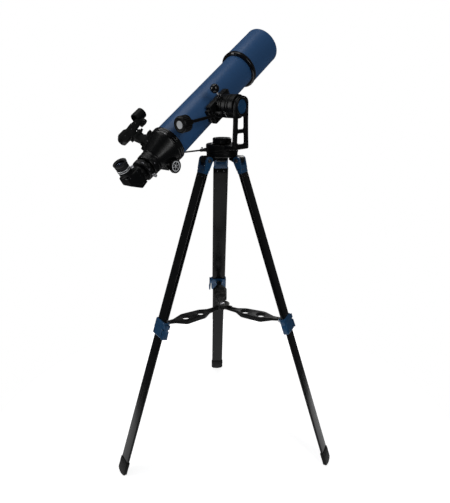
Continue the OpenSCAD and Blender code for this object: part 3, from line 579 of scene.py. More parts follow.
p = Piece("rear_ring", "telescope", "black_gloss", "rear_cell")
inside = p.tag("dark_liner")
p.lathe(OPTICS, [(52.6, -190.7, 0.3), (55.6, -190.7, 0.8), (57.3, -192.2, 0.9), (57.3, -195.9, 0.8),
    (56.2, -197, 0.4), (56.2, -197.9, 0.3), (57.1, -198.7, 0.8), (57.1, -202.2, 0.8), (56, -203.2, 0.3),
    (56, -204.3, 0.3), (56.7, -205.2, 0.6), (56.7, -210.8, 1), (55.6, -212, 0.6), (51.1, -212, 0.3, inside),
    (51.1, -196.1, 0.3, inside), (52.6, -196.1, 0.3, inside)], 144, True)
p.screws_round(OPTICS, (60, 180, 300), 56.6, -208, 1.8, 0.7, "bare_steel")
p.done()

p = Piece("focuser_shell", "telescope", "black_aluminium", "focuser_body")
rack_slot = ("block", TUBE, (-4.6, -302, -32.6), (4.6, -212.3, -20), 0)
carve(p, ("lathe", OPTICS, [(51, -212.2, 0.4), (55.9, -212.2, 0.6), (54.6, -217, 1), (36.2, -271.2, 1.6),
    (34.9, -273.4, 0.6), (34.5, -276.2, 0.3), (35.3, -276.8, 0.4), (35.3, -281.2, 0.4), (34.5, -281.8, 0.3),
    (34.5, -298.2, 0.9), (33.2, -300, 0.6), (25.6, -300, 0.4), (25.6, -262, 0.3), (30, -262, 0.3)], 144, True),
    rack_slot, ("lathe", FOCUS_AXIS, rod(21.6, 42.5, 70), 72), ("lathe", FOCUS_AXIS, rod(21.6, -70, -42.5), 72))
p.lathe(OPTICS, [(34.55, -286.2, 0.1), (34.9, -286.6, 0.2), (34.9, -294, 0.2), (34.55, -294.4, 0.1), (33.8, -294.4),
    (33.8, -286.2)], 144, True, grip=(72, 0.45, -294.2, -286.4, 34.7, ribs(0.5)))
carve(p, ("block", TUBE, (-27, -257, -49), (27, -231, -30), 3.2, 4), rack_slot, ("lathe", FOCUS_AXIS, rod(9, -6, 6),
    48))
p.block(TUBE, (-21, -251, -50), (21, -237, -48.4), 0.6, 2)
for x, y in ((-17, -248), (17, -248), (-17, -240), (17, -240)):
    p.screw(TUBE @ move(x, y, -49.9) @ Z_DOWN, 1.6, 1)
p.screws_round(OPTICS, (-15, 75, 165, 255), 34.7, -290.5, 2.8, 0.9)
p.done()

p = Piece("draw_tube", "focus_tube", "black_aluminium", "drawtube")
inside = p.tag("dark_liner")
p.lathe(OPTICS, [(23.5, -308, 0.3), (25.5, -308, 0.3), (25.5, -176, 0.4), (23.5, -176, 0.4, inside)], 96, True)
p.done()

p = Piece("adapter_collar", "focus_tube", "black_aluminium", "adapter_ring")
inside = p.tag("dark_liner")
p.lathe(OPTICS, [(25.6, -306, 0.4), (31.4, -306, 0.8), (33, -307.6, 0.6), (33, -309.2, 0.3), (32.4, -309.6, 0.2),
    (32.4, -310.2), (33, -310.6, 0.2), (33, -318.4, 0.2), (32.4, -318.8, 0.2), (32.4, -319.4), (33, -319.8, 0.3),
    (33, -320.6, 0.6), (31.6, -322, 0.6), (16.4, -322, 0.5, inside), (15.95, -321, 0, inside),
    (15.95, -307.2, 0, inside), (25.6, -307.2, 0, inside)], 180, True, grip=(60, 0.7, -318.3, -310.7, 32.8,
    ribs(0.35)))
p.screws_round(OPTICS, (-58, -12, 155, 200), 32.6, -315, 3.4, 1.2)
p.done()

p = Piece("focus_wheels", "focus_shaft", "black_plastic", "focus_knobs")
silver, dark = p.tag("pale_inlay"), p.tag("black_gloss")
for side in (0, 180):
    at = FOCUS_AXIS @ turn('X', side)
    p.lathe(at, [(4, 36.1, 0.3), (5.4, 36.1, 0.5), (6, 36.9, 0.4), (6, 43.2, 0.3), (18.8, 43.2, 0.9),
        (20.5, 44.6, 0.8), (20.5, 45.4), (20.5, 50.4), (20.5, 51.4, 0.8), (18.9, 52.9, 0.8), (16.8, 52.9, 0.3),
        (16.4, 51.4, 0.2, dark), (15.6, 51.4, 0.1, silver), (15.2, 52.2, 0.3, silver), (12.6, 52.2, 0.3, silver),
        (12.2, 50.6, 0.2, dark), (4.6, 50.7, 0.2, dark), (4, 50.2, 0, dark)], 216, True, grip=(36, 1, 44.9, 51.1,
        20.3, ribs(0.35)))
    for i in range(6):
        p.block(at @ turn('Z', 60 * i + 15), (3.6, -0.6, 50.2), (12.5, 0.6, 51.5), 0.3, 2, material="pale_inlay")
    p.lathe(at, [(0, 49.9), (4.4, 49.9), (4.4, 51.6, 0.6), (3, 52.4, 0.5), (0, 52.5)], 32, material="silver_ring")
p.done()

# --- diagonal and eyepiece ---


def thumbscrew(name, body, at, tip, low, high, shank, head, node):
    q = Piece(name, body, "bare_steel", node)
    waist = low - 1.2
    q.lathe(at, [(0, tip), (shank * 0.8, tip, 0.2), (shank, tip + 1, 0.2), (shank, waist - 0.6),
        (shank + 0.9, waist - 0.2, 0.2), (shank + 0.9, low, 0.2), (head - 0.8, low, 0.3), (head, low + 0.9, 0.3),
        (head, low + 1.3), (head, high - 1.3), (head, high - 0.9, 0.3), (head - 0.9, high, 0.3), (1.6, high),
        (1.2, high - 0.5), (0, high - 0.5)], 96, grip=(24, 0.45, low + 1.1, high - 1.1, head - 0.1, ribs(0.2)))
    return q.done()


p = Piece("diagonal_shell", "diagonal", "black_plastic", "diagonal_housing")
side = rounded([(-332.2, -26, 2), (-353, -29, 3), (-357.6, -28.6, 3), (-385.4, 1.4, 3), (-386, 4, 2),
    (-386, 24.5, 2.4), (-383.5, 27, 2), (-336, 27, 2), (-332.2, 23, 2)], steps=5)
ACROSS = TUBE @ turn('Z', 90) @ Z_TO_BACK
carve(p, ("plate", ACROSS, [side], -18.5, 18.5, 2.4), ("lathe", EYEPIECE, rod(15.94, 16, 60), 64), ("lathe",
    EYEPIECE, rod(13.8, 3, 17), 64), ("lathe", OPTICS, rod(13.8, -367, -290), 64), ("block", TUBE @ move(0, -368, 0)
    @ turn('X', -45), (-15, -20, -3.02), (15, 20, 0.02), 0))
inset = rounded([(-340, -19, 3), (-352, -22, 3), (-378, 5, 3), (-378, 19, 3), (-340, 19, 3)], steps=5)
for low, high in ((-18.62, -17.5), (17.5, 18.62)):
    p.plate(ACROSS, [inset], low, high, 0.5)
p.lathe(OPTICS, [(22.4, -334.6, 0.6), (23, -333.8, 0.5), (23, -324, 0.6), (22, -323, 0.5), (16.2, -323, 0.4),
    (15.88, -322.6), (15.88, -293, 0.4), (15.3, -292, 0.3), (13.85, -292, 0.2), (13.85, -334.6, 0.1)], 120, True)
p.lathe(EYEPIECE, [(18.5, 20), (18.5, 28.6, 0.3), (17.7, 29, 0.2), (17.7, 29.8, 0.2), (18.5, 30.2, 0.3),
    (18.5, 41.6, 0.8), (17.4, 43, 0.5), (15.95, 43, 0.2), (15.95, 20)], 96, True)
p.screws_beside(TUBE, 18.5, ((-345, 22), (-375, 22), (-346, -19)), 1.5, 0.5)
p.done()
thumbscrew("diagonal_screw_knob", "diagonal_screw", TUBE @ move(0, -314, 0) @ turn('Y', 111), 16.6, 36, 47, 2.5,
    4.6, "diagonal_thumbscrew")
thumbscrew("eyepiece_screw_knob", "eyepiece_screw", EYEPIECE @ move(0, 0, 36) @ turn('Z', -12) @ Z_TO_Y, 16.6, 20.5,
    29, 2, 4.2, "eyepiece_thumbscrew")

p = Piece("eyepiece_barrel", "eyepiece", "black_aluminium", "eyepiece_body")
silver, inside = p.tag("silver_ring"), p.tag("dark_liner")
p.lathe(EYEPIECE, [(13.5, 20, 0.2, silver), (15.4, 20, 0.3, silver), (15.88, 20.6, 0.2, silver),
    (15.88, 27, 0, silver), (15.2, 27.8, 0.2, silver), (15.2, 32.4, 0.2, silver), (15.88, 33.2, 0, silver),
    (15.88, 43.4, 0, silver), (18.4, 43.4, 0.4, silver), (19, 44.2, 0.4, silver), (19, 45.8, 0.4, silver),
    (18.4, 46.4, 0.3), (17.6, 46.6, 0.2), (17.6, 48.4, 0.2, silver), (18.6, 48.6, 0.3, silver),
    (19.2, 49.4, 0.4, silver), (19.2, 51, 0.4, silver), (18.4, 51.6, 0.3), (16, 52), (16, 67, 0.4),
    (12, 67, 0.3, inside), (12, 56, 0, inside), (13.5, 56, 0, inside)], 128, True)
p.done()

p = Piece("eyepiece_cup", "eyepiece", "rubber", "eyepiece_eyecup")
p.lathe(EYEPIECE, [(16.1, 53, 0.3), (17.4, 53, 0.6), (17.8, 54.8, 0.4), (18.8, 55.2, 0.4), (18.8, 56.6, 0.4),
    (18.1, 57.3, 0.4), (18.3, 58.9, 0.4), (19.4, 59.3, 0.4), (19.4, 60.7, 0.4), (18.9, 61.4, 0.5), (19.5, 64, 1),
    (20.4, 67.2, 0.8), (20.6, 68.6, 0.6), (20.1, 70, 0.5), (19.2, 69.7, 0.5), (17.6, 68.2, 0.8), (15.6, 66.9, 0.4),
    (15.4, 66.2, 0.2), (16.1, 66)], 144, True, grip=(24, 0.3, 61.8, 67.6, 18.9, lambda s: s))
p.done()

p = Piece("eye_lens", "eyepiece", "clear_glass", "eyepiece_lens")
p.lathe(EYEPIECE, [(0, 61), (6, 61.1), (11.9, 61.8, 0.2), (11.9, 63.8, 0.2), (6, 64.7), (0, 65)], 64)
p.done()

# --- finder ---

p = Piece("finder_foot", "telescope", "finder_plastic", "finder_bracket")
p.soften("finder_bracket", 1.1, 3)
for x in (-9, 9):
    p.screw(FINDER @ move(x, -233, 84), 1.6, 0.9)
p.lathe(FINDER @ move(0, -226, 84), [(0, 0), (5.2, 0, 0.3), (6, 0.8, 0.3), (6, 1.2), (6, 4.2), (6, 4.6, 0.3),
    (5.2, 5.2, 0.3), (0, 5.2)], 72, grip=(18, 0.5, 1, 4.3, 5.9, ribs(0.3)))
p.screw(FINDER @ move(11, -240, 46) @ Z_TO_X, 2.4, 1.2)
p.screw(FINDER @ move(-11, -240, 46) @ Z_TO_LEFT, 2.4, 1.2)
p.done()

p = Piece("finder_case", "telescope", "finder_plastic", "finder_body")
SIDEWAYS = FINDER @ turn('Z', 90) @ Z_TO_BACK
outline = rounded([(-286, 86, 3), (-264, 86, 2), (-262, 84.2, 1), (-238, 84.2, 2), (-236, 92, 3), (-226, 94, 3),
    (-212, 95.5, 4), (-199, 98, 3), (-200, 112, 4), (-214, 118, 4), (-254, 113, 6), (-262, 117, 3), (-284, 116, 4),
    (-291, 108, 4), (-292, 94, 4)])
hood_bore = ("lathe", FINDER @ move(0, 0, 119) @ Z_TO_Y, rod(13, -230, -160), 64)
carve(p, ("plate", SIDEWAYS, [outline], -12, 12, 2.2), hood_bore)
carve(p, ("block", FINDER, (-9, -206, 88), (9, -185, 106), 2.5, 3), hood_bore)
p.lathe(FINDER @ move(0, 0, 118) @ Z_TO_Y, [(13, -204, 0.3), (14.8, -204, 0.8), (16, -202, 0.6), (16, -176, 0.3),
    (15.4, -175.4, 0.3), (15.4, -174.4, 0.3), (16, -173.8, 0.3), (16, -170.4, 0.8), (15.2, -169, 0.6),
    (13.2, -169, 0.4), (13, -171)], 96, True)
panel = rounded([(-284, 92, 2), (-262, 91, 2), (-258, 96, 2), (-258, 108, 2), (-264, 111, 3), (-284, 109, 3)])
for low, high in ((-12.5, -11), (11, 12.5)):
    p.plate(SIDEWAYS, [panel], low, high, 0.45)
for i in range(5):
    p.block(FINDER, (-8, -282 + 4 * i, 115.4), (8, -279.8 + 4 * i, 117.4), 0.6, 2)
p.screws_beside(FINDER, 12.028, ((-273, 101), (-220, 106), (-244, 102)), 1.5, 0.6)
p.done()

p = Piece("finder_glass", "telescope", "clear_glass", "finder_window")
p.lathe(FINDER @ move(0, 0, 119) @ Z_TO_Y, rod(12.9, -180, -178, 0.2), 64)
p.done()

p = Piece("finder_dial_knob", "dial", "black_plastic", "finder_dial")
p.lathe(FINDER @ move(0, -196.5, 91) @ Z_TO_X, [(0, 4.5), (2.5, 4.5, 0.3), (2.5, 12.5), (5.7, 12.5, 0.4),
    (6.5, 13.2, 0.3), (6.5, 13.6), (6.5, 16.8), (6.5, 17.2, 0.3), (5.7, 18, 0.4), (4.4, 18, 0.2), (4.1, 17.6, 0.2),
    (0, 17.6)], 108, grip=(18, 0.5, 13.4, 17, 6.4, ribs(0.3)))
p.block(FINDER @ move(0, -196.5, 91), (17.3, -0.4, 1), (17.9, 0.4, 4), 0.2, 2, material="pale_inlay")
p.done()

# --- saddle and mount ---

CROSS = ALTITUDE @ Z_TO_BACK
p = Piece("saddle_block", "telescope", "black_casting", "saddle")
jaw = rounded([(-16, -30, 2.5), (2, -30, 2.5), (2, 30, 2.5), (-16, 30, 2.5), (-16, 18.3, 0.8), (-7, 22.5, 0.6),
    (-7, -22.5, 0.6), (-16, -18.3, 0.8)])
p.plate(CROSS, [jaw], -46, 50, 1.4)
p.lathe(ALTITUDE @ Z_TO_X, [(0, 1), (32, 1, 0.4), (33, 2, 0.4), (33, 4.7, 0.5), (32, 5.5, 0.4), (12, 5.5, 0.4),
    (12, 57, 0.6), (11, 58, 0.3), (0, 58)], 96)
for y in (-40, -14, 14):
    p.screw(ALTITUDE @ move(-6, y, 30), 2, 0.8, "black_gloss")
    p.screw(ALTITUDE @ move(-6, y, -30) @ Z_DOWN, 2.4, 1, "black_gloss")
p.done()

p = Piece("saddle_knob", "saddle_clamp", "black_plastic", "saddle_clamp_knob")
p.lathe(ALTITUDE @ move(-5, 30, 0) @ Z_DOWN, [(0, 24), (3, 24, 0.3), (3, 30.4), (5, 31, 0.4), (8.2, 31.2, 0.6),
    (9, 32.2, 0.4), (9, 32.6), (9, 42.6), (9, 43.2, 0.6), (7.4, 44.4, 0.6), (6.6, 45.9, 0.5), (5.6, 46, 0.2),
    (5.2, 45.4, 0.2), (0, 45.4)], 80, grip=(10, 1.5, 32.3, 43.6, 8.4, lambda s: s))
p.screw(ALTITUDE @ move(-5, 30, 0) @ Z_DOWN @ move(0, 0, 45.4), 2.6, 0.6)
p.done()

p = Piece("dovetail_rail", "telescope", "black_aluminium", "dovetail_bar")
seat = [(-70.3 + 52.55 * cos(a), 52.55 * sin(a)) for a in [radians(-18.9 + 37.8 * i / 12) for i in range(13)]]
p.plate(CROSS, [seat + [(-20, 17), (-7.1, 22.3), (-7.1, -22.3), (-20, -17)]], -58, 58, 0.5)
for y in (-54, 52):
    for z in (-12, 12):
        p.screw(ALTITUDE @ move(-7.1, y, z) @ Z_TO_X, 2.2, 0.6, "black_gloss")
p.done()

p = Piece("azimuth_disc", "mount", "black_casting", "azimuth_base")
p.lathe(HERE, [(0, 1034), (9.2, 1034, 0.5), (10, 1035, 0.4), (10, 1056.4), (49.3, 1056.4, 0.5), (50.5, 1057.4, 0.6),
    (50.5, 1063.8, 0.6), (49.4, 1064.6, 0.3), (49.4, 1067.4, 0.3), (50.5, 1068.2, 0.6), (50.5, 1080.2, 1.4),
    (48.7, 1082.5, 1.2), (34.5, 1082.5, 0.6), (33, 1081.6, 0.5), (6.1, 1081.6, 0.2), (6.1, 1076), (0, 1076)], 144)
foot = rounded([(28, -34, 4), (66.4, -34, 5), (66.4, 34, 5), (28, 34, 4)], steps=5)
p.plate(HERE, [foot], 1070, BASE_TOP, 2)
p.lathe(CABLE, [(0, 18), (6, 18), (6, 52.6, 0.9), (4.8, 54, 0.6), (3.1, 54, 0.2), (3.1, 40), (0, 40)], 48)
for a in (150, 210, 270, 90):
    p.screw(turn('Z', a) @ move(41.5, 0, BASE_TOP), 2, 0.5, "black_gloss")
for x, y in ((38, -26), (38, 26), (54, -26), (54, 26)):
    p.screw(move(x, y, 1070.1) @ Z_DOWN, 2.6, 1.4)
p.done()

p = Piece("arm_frame", "mount", "black_casting", "mount_arm")
YZ = turn('Z', 90) @ Z_TO_BACK
outer = rounded([(-36, 1070, 6), (39, 1070, 6), (36.5, 1110, 12), (35, 1150, 6), (35, 1210, 8), (31, 1219, 5),
    (22, 1224.5, 5), (10, 1226.4, 4), (-12, 1224.1, 6), (-25, 1214, 8), (-31, 1199, 8), (-31, 1150, 6),
    (-33, 1110, 12)], steps=5)
low = rounded([(-18, 1086.2, 7), (22, 1086.2, 7), (20.5, 1118.3, 7), (-16.5, 1118.3, 7)], steps=5)
high = rounded([(-15.5, 1130.5, 7), (19.5, 1130.5, 7), (18.5, 1166.6, 7), (-14, 1166.6, 7)], steps=5)
p.plate(YZ, [outer, low, high], 66.55, 76, 3)
p.lathe(ARM_AXIS, [(21, 75.6), (21, 78.6, 0.3), (22.4, 79.5, 0.5), (25.8, 79.5, 0.8), (27, 78, 0.6), (27.4, 75.6)],
    96, True)
for y in (-25.5, 27.5):
    p.screw(move(76, y, 1078) @ Z_TO_X, 2.4, 0.8, "black_gloss")
p.done()

p = Piece("axis_housing", "mount", "black_casting", "altitude_housing")
line = [(12.1, 6.5, 0.3), (31.6, 6.5, 0.8), (33.2, 7.6, 0.5), (34, 8.4, 0.5), (34, 12.8, 0.6), (32.9, 13.6, 0.4),
    (32.9, 15.2, 0.4)]
for start, end in ((15.5, 21.5), (23.5, 38.5), (40.5, 46.5), (48.5, 66.4)):
    line += [(34.2, start, 0.5), (35, start + 1.1, 0.8), (35, end - 1.1, 0.8), (34.2, end, 0.5),
        (33, end + 0.5, 0.4), (33, end + 1.3, 0.4)]
line = line[:-2] + [(12.1, 66.4, 0.3)]
p.lathe(ARM_AXIS, line, 144, True)
p.block(move(0, 0, AXIS_HEIGHT), (6.5, -42, -32), (32, -8, -14), 3, 4)
p.lathe(FINE, [(4.1, 4.5), (7.4, 4.5), (7.4, 15, 0.6), (6.6, 16, 0.5), (5.3, 16, 0.3), (4.1, 14)], 48, True)
p.lathe(LOCK, [(4.1, 28), (8.8, 28), (8.8, 35, 0.8), (8, 35.9, 0.4), (4.1, 35.9, 0.3)], 48, True)
for a in range(-64, -19, 4):
    tall = 5 if a % 5 == 0 else 3
    p.block(ARM_AXIS @ turn('Z', a) @ move(35, 0, 0), (-0.3, -0.6, 32.4), (0.12, 0.6, 32.4 + tall), 0.1, 1,
        material="pale_inlay")
p.done()

p = Piece("axis_cap", "mount", "blue_plastic", "altitude_cap")
p.lathe(ARM_AXIS, [(0, 76), (20.9, 76), (20.9, 76.8, 0.4), (18.4, 77, 0.4), (17.8, 77.6, 0.3), (15.2, 77.6, 0.4),
    (14.6, 77, 0.3), (0, 77.4)], 96)
p.done()

p = Piece("azimuth_knob", "azimuth_clamp", "black_plastic", "azimuth_clamp_knob")
p.lathe(HERE, [(0, 1078), (6, 1078, 0.4), (6, 1083.5), (27.9, 1083.5, 0.8), (29.5, 1085, 0.8), (29.5, 1086),
    (29.5, 1097.4), (29.5, 1098.6, 1.2), (27.2, 1100.7, 1.2), (21.4, 1100.7, 0.5), (20.6, 1099.9, 0.4),
    (7.6, 1099.9, 0.4), (7, 1100.5, 0.3), (0, 1100.6)], 240, grip=(30, 0.9, 1085.8, 1098.2, 28.5, ribs(0.45)))
p.done()

p = Piece("lock_lever", "altitude_lock", "black_gloss", "altitude_lock_lever")
p.lathe(LOCK, [(0, 26), (3.6, 26, 0.3), (4, 26.6), (4, 36), (7.6, 36, 0.4), (8, 36.6, 0.3), (8, 42.8, 0.6),
    (6.8, 44, 0.5), (4.2, 44.4, 0.3), (3.9, 47, 0.3), (0, 47)], 48)
p.lathe(LOCK, [(0, 46), (3.4, 46, 0.3), (3.2, 57), (4.6, 58.2, 0.4), (4.6, 60.2), (0, 60.2)], 48,
    material="bare_steel")
ball = [(max(0, 13.6 * cos(radians(a))), 71 + 13.6 * sin(radians(a))) for a in range(-66, 90, 6)]
p.lathe(LOCK, [(0, 58.6)] + ball + [(0, 84.6)], 64)
p.done()

p = Piece("altitude_drive_rod", "altitude_drive", "black_rod", "altitude_fine_shaft")
p.lathe(FINE, [(0, 2), (3.7, 2, 0.3), (4, 2.6), (4, 17), (5.2, 17.4, 0.4), (5.2, 27, 0.4), (4.7, 27.8, 0.3),
    (4.7, 119, 0.6), (6.4, 122, 0.6), (7, 124, 0.6), (7, 139.4, 0.6), (6.2, 140.8, 0.4), (5.2, 140.8), (5.2, 145.5),
    (0, 145.5)], 48)
p.screw(FINE @ move(0, 5.1, 22) @ Z_TO_Y, 1.3, 0.5)
p.screw(FINE @ move(0, 6.9, 131) @ Z_TO_Y, 1.5, 0.5)
p.done()

p = Piece("altitude_drive_knob", "altitude_drive", "black_plastic", "altitude_fine_knob")
p.lathe(FINE, [(5.3, 141, 0.3), (11.6, 141, 0.8), (14, 141.8, 0.8), (21.2, 144.6, 1.2), (23.5, 146.4, 0.8),
    (23.5, 147), (23.5, 170.4), (23.5, 171.6, 1.2), (22, 174.4, 1.4), (20.2, 175, 0.6), (18.4, 175, 0.4),
    (17.9, 174.2, 0.2), (0, 174.2)], 192, grip=(24, 1.2, 146.8, 171.2, 22.5, ribs(0.4)))
p.lathe(FINE, [(0, 174), (11, 174), (11, 174.6, 0.2), (9.6, 174.7, 0.1), (9.3, 174.4, 0.1), (0, 174.5)], 96,
    material="pale_inlay")
p.lathe(FINE, [(5.3, 141), (5.3, 146), (0, 146)], 32, material="dark_liner")
p.done()

p = Piece("azimuth_drive_rod", "azimuth_drive", "black_rod", "azimuth_fine_shaft")
p.lathe(CABLE, [(0, 42), (2.8, 42, 0.3), (3, 42.6), (3, 54.6), (4.4, 55, 0.3), (5, 55.8, 0.4), (5, 69.2, 0.5),
    (4.2, 70, 0.3), (2.6, 71, 0.3), (2.6, 196), (3.6, 198, 0.6), (5.4, 201, 0.8), (5.8, 205.6, 0.3), (0, 206.2)],
    48)
p.lathe(CABLE, [(0, 205.8), (7.4, 205.8, 0.6), (9, 207.4, 0.5), (9, 208.2), (9, 241.6), (9, 242.6, 0.6),
    (8, 245.2, 0.8), (6.6, 246, 0.4), (0, 245.8)], 84, grip=(14, 1.1, 208, 242.2, 8.6, ribs(0.25)),
    material="black_plastic")
UP = CABLE @ move(0, 0, 62) @ Z_TO_X
p.lathe(UP, [(0, 3), (1.6, 3), (1.6, 5.8), (2.7, 6.2, 0.3), (3, 6.7, 0.2), (3, 8.9, 0.3), (2.4, 9.4, 0.2),
    (0, 9.3)], 48, grip=(16, 0.3, 6.7, 9, 2.9, ribs(0.3)), material="bare_steel")
p.done()

# --- tripod ---

p = Piece("tripod_crown", "tripod", "black_casting", "tripod_hub")
p.lathe(HERE, [(10.1, 1030, 0.4), (16.8, 1030, 0.8), (18, 1031.4, 0.8), (18, 1044.2, 1), (46.8, 1044.2, 1.4),
    (49, 1046.2, 1.2), (49, 1054.8, 0.7), (48.2, 1055.9, 0.4), (10.1, 1055.9, 0.3)], 144, True)
knuckle = convex([(HINGE_OUT + x, HINGE_HEIGHT + y) for x, y in circle(12.5, 56)] + [(30, 1036), (30, 1047.8),
    (42, 1047.8), (42, 1036)])
for k in LEGS:
    upright = leg_turn(k) @ Z_TO_BACK
    p.plate(upright, [knuckle, circle(4.02, 32, HINGE_OUT, HINGE_HEIGHT)], -14.5, 14.5, 1.3)
    for a in (-28, 28):
        p.screw(leg_turn(k) @ turn('Z', a) @ move(42, 0, 1044.3) @ Z_DOWN, 2, 1, "black_gloss")
p.done()

p = Piece("hinge_bolts", "tripod", "dark_steel", "hinge_pins", slot="bare_steel")
for k in LEGS:
    at = leg_turn(k) @ move(HINGE_OUT, 0, HINGE_HEIGHT) @ Z_TO_BACK
    p.lathe(at, rod(3.95, -26, 26, 0.3), 32)
    p.lathe(at, rod(6.4, 23.3, 24.3, 0, 0.3), 40)
    p.lathe(at, [(0, 24.2), (5.3, 24.2), (5, 26.2, 0.8), (3.2, 27, 0.5), (2.2, 26.9, 0.1), (2, 25.2), (0, 25.1)],
        36)
    p.lathe(at @ Z_DOWN, rod(6.4, 23.3, 24.3, 0, 0.3), 40)
    p.plate(at, [hexagon(5.9)], -26.6, -24, 0.4)
    p.lathe(at @ Z_DOWN, [(0, 26.4), (3.4, 26.4), (3.4, 26.9, 0.2), (0, 27)], 24)
p.done()

FORK = convex(circle(12, 56) + [(-8.5, -30), (8.5, -30)])
LEAN = radians(LEG_SLOPE)
PIN_ACROSS, PIN_BELOW = TRAY_PIN - HINGE_OUT, HINGE_HEIGHT - TRAY_HEIGHT
# the tray arm's outer pin in the leg's own frame
PIN_DOWN = sin(LEAN) * PIN_ACROSS + cos(LEAN) * PIN_BELOW
PIN_OUT = cos(LEAN) * PIN_ACROSS - sin(LEAN) * PIN_BELOW


def build_leg(k):
    at, body = leg_frame(k), f"leg_{k}"
    q = Piece(f"leg_fork_{k}", body, "blue_plastic", f"leg_bracket_{k}")
    flat = at @ Z_TO_BACK
    for side in (-1, 1):
        q.plate(flat, [FORK, circle(4.06, 32)], side * 19.1 - 4, side * 19.1 + 4, 1.2)
        q.plate(flat, [circle(8.6, 40), circle(4.2, 32)], side * 22.6 - 0.6, side * 22.6 + 0.8, 0.3)
    q.loft(at, flat_loops((13.5, 43.2, 3.5, -18.2, 0.03), (14.6, 44.4, 4, -18, 0.03), (16.2, 45.6, 4.4, -21, 0.03),
        (17, 46.2, 4.6, -26, 0.03), (17, 46.2, 4.6, -38.4, 0.03), (16.2, 45.4, 4.4, -40.6, 0.03),
        (14.6, 43.8, 4, -41.9, 0.03)))
    q.loft(at, flat_loops((9, 47, 1.2, -40), (9, 47, 1.2, -61.4), (8, 46, 1, -62)))
    for side in (-1, 1):
        q.screw(at @ move(8.6, side * 12, -31) @ Z_TO_X, 2.3, 1)
    q.done()

    q = Piece(f"leg_tube_{k}", body, "leg_black", f"upper_leg_{k}")
    inside = q.tag("dark_liner")
    loops = flat_loops((9, 46.9, 1.2, -42), (11.2, 49.4, 3.4, -42, 0.02), (12, 50, 3.8, -42.9, 0.02))
    loops += [flat_loop(12, 50, 3.8, -42.9 - (496.2 * i / 24), 0.02) for i in range(1, 25)]
    loops += flat_loops((11.2, 49.4, 3.4, -540, 0.02), (9, 46.9, 1.2, -540))
    q.loft(at, loops, closed=True)
    for side in (-1, 1):
        q.screw(at @ move(6.05, side * 11, -52) @ Z_TO_X, 2.3, 0.9)
        q.screw(at @ move(-6.05, side * 11, -52) @ Z_TO_LEFT, 2.3, 0.9)
    q.done()

    q = Piece(f"leg_collar_{k}", body, "blue_plastic", f"leg_clamp_{k}")
    s, out = PIN_DOWN, PIN_OUT
    body_loops = flat_loops((12.2, 50.2, 3.9, -532.2), (18.6, 55.6, 4.5, -532.2), (20.4, 57.4, 5, -533.6),
        (21, 58, 5, -536), (21, 58, 5, -551), (20.4, 57.4, 4.8, -552), (20.4, 57.4, 4.8, -553.6),
        (21, 58, 5, -554.6), (21, 58, 5, -581.4), (20.2, 57.2, 4.8, -583.8), (18, 55.2, 4.2, -585),
        (9, 46.9, 1.3, -585), (9, 46.9, 1.3, -540.4), (12.2, 50.2, 3.9, -540.2))
    q.loft(at, body_loops, closed=True)
    ear = convex([(out + x, -s + z) for x, z in circle(5.5, 40)] + [(-9.6, -s - 10), (-9.6, -s + 7)])
    for side in (-1, 1):
        q.plate(at @ Z_TO_BACK, [ear], side * 11 - 2, side * 11 + 2, 0.7)
        q.block(at, (side * 9 - 1.6, 26, -551), (side * 9 + 1.6, 36.5, -537), 0.7, 2)
    q.lathe(at @ move(out, 0, -s) @ Z_TO_BACK, rod(2.45, -12.4, 12.4, 0.3), 32, material="bare_steel")
    for side in (-1, 1):
        cap = at @ move(out, side * 13, -s) @ turn('X', -90 * side)
        q.lathe(cap, [(0, -0.4), (3.9, -0.4), (3.9, 0.4, 0.3), (2.6, 1.2, 0.4), (0, 1.3)], 32,
            material="bare_steel")
    q.lathe(at @ move(0, 33, -544) @ Z_TO_X, rod(1.95, -10.5, 10.5, 0.3), 24, material="bare_steel")
    for side in (-1, 1):
        q.screw(at @ move(10.4, 18 * side, -575) @ Z_TO_X, 2.2, 0.5, "black_gloss")
    q.done()

    q = Piece(f"clamp_handle_{k}", f"lever_{k}", "blue_plastic", f"clamp_lever_{k}")
    grip = rounded([(31.2, -544, 0), (31.2, -564, 4), (33.2, -586, 1.6), (38.2, -586, 1.4), (36.4, -564, 5),
        (36.4, -544, 0)], False, 6)
    top = arc(33.4, -544, 3.6, 30, 150, 10)
    edge_yz = at @ turn('Z', 90) @ Z_TO_BACK
    q.plate(edge_yz, [grip + [(36.4, -543)] + top], -7, 7, 0.9)
    wide = rounded([(31.4, -557, 1), (33.2, -585.4, 1.5), (38.2, -585.6, 1.5), (36, -557, 1)])
    q.plate(edge_yz, [wide], -11, 11, 1.3)
    for i in range(3):
        q.block(at, (-8, 37.2 + 0.3 * i, -572.6 - 3.6 * i), (8, 37.9 + 0.3 * i, -571.2 - 3.6 * i), 0.3, 2)
    q.done()

    lower = f"leg_lower_{k}"
    q = Piece(f"leg_slide_{k}", lower, "leg_black", f"lower_leg_{k}")
    loops = [flat_loop(8, 46, 2.6, -471.4 - 608.4 * i / 24, 0.02) for i in range(25)]
    q.loft(at, [flat_loop(6.6, 44.4, 2, -470.1), *loops, flat_loop(6.6, 44.4, 2, -1080.5)])
    q.done()

    q = Piece(f"rubber_shoe_{k}", lower, "rubber_foot", f"foot_{k}")
    q.soften(f"foot_{k}", 0.7, 2)
    for z in (-1046.5, -1050.5, -1054.5):
        q.loft(at, flat_loops((13, 50, 4, z), (13.7, 50.7, 4.2, z - 0.5), (13.7, 50.7, 4.2, z - 1.4),
            (13, 50, 4, z - 1.9)))
    q.done()


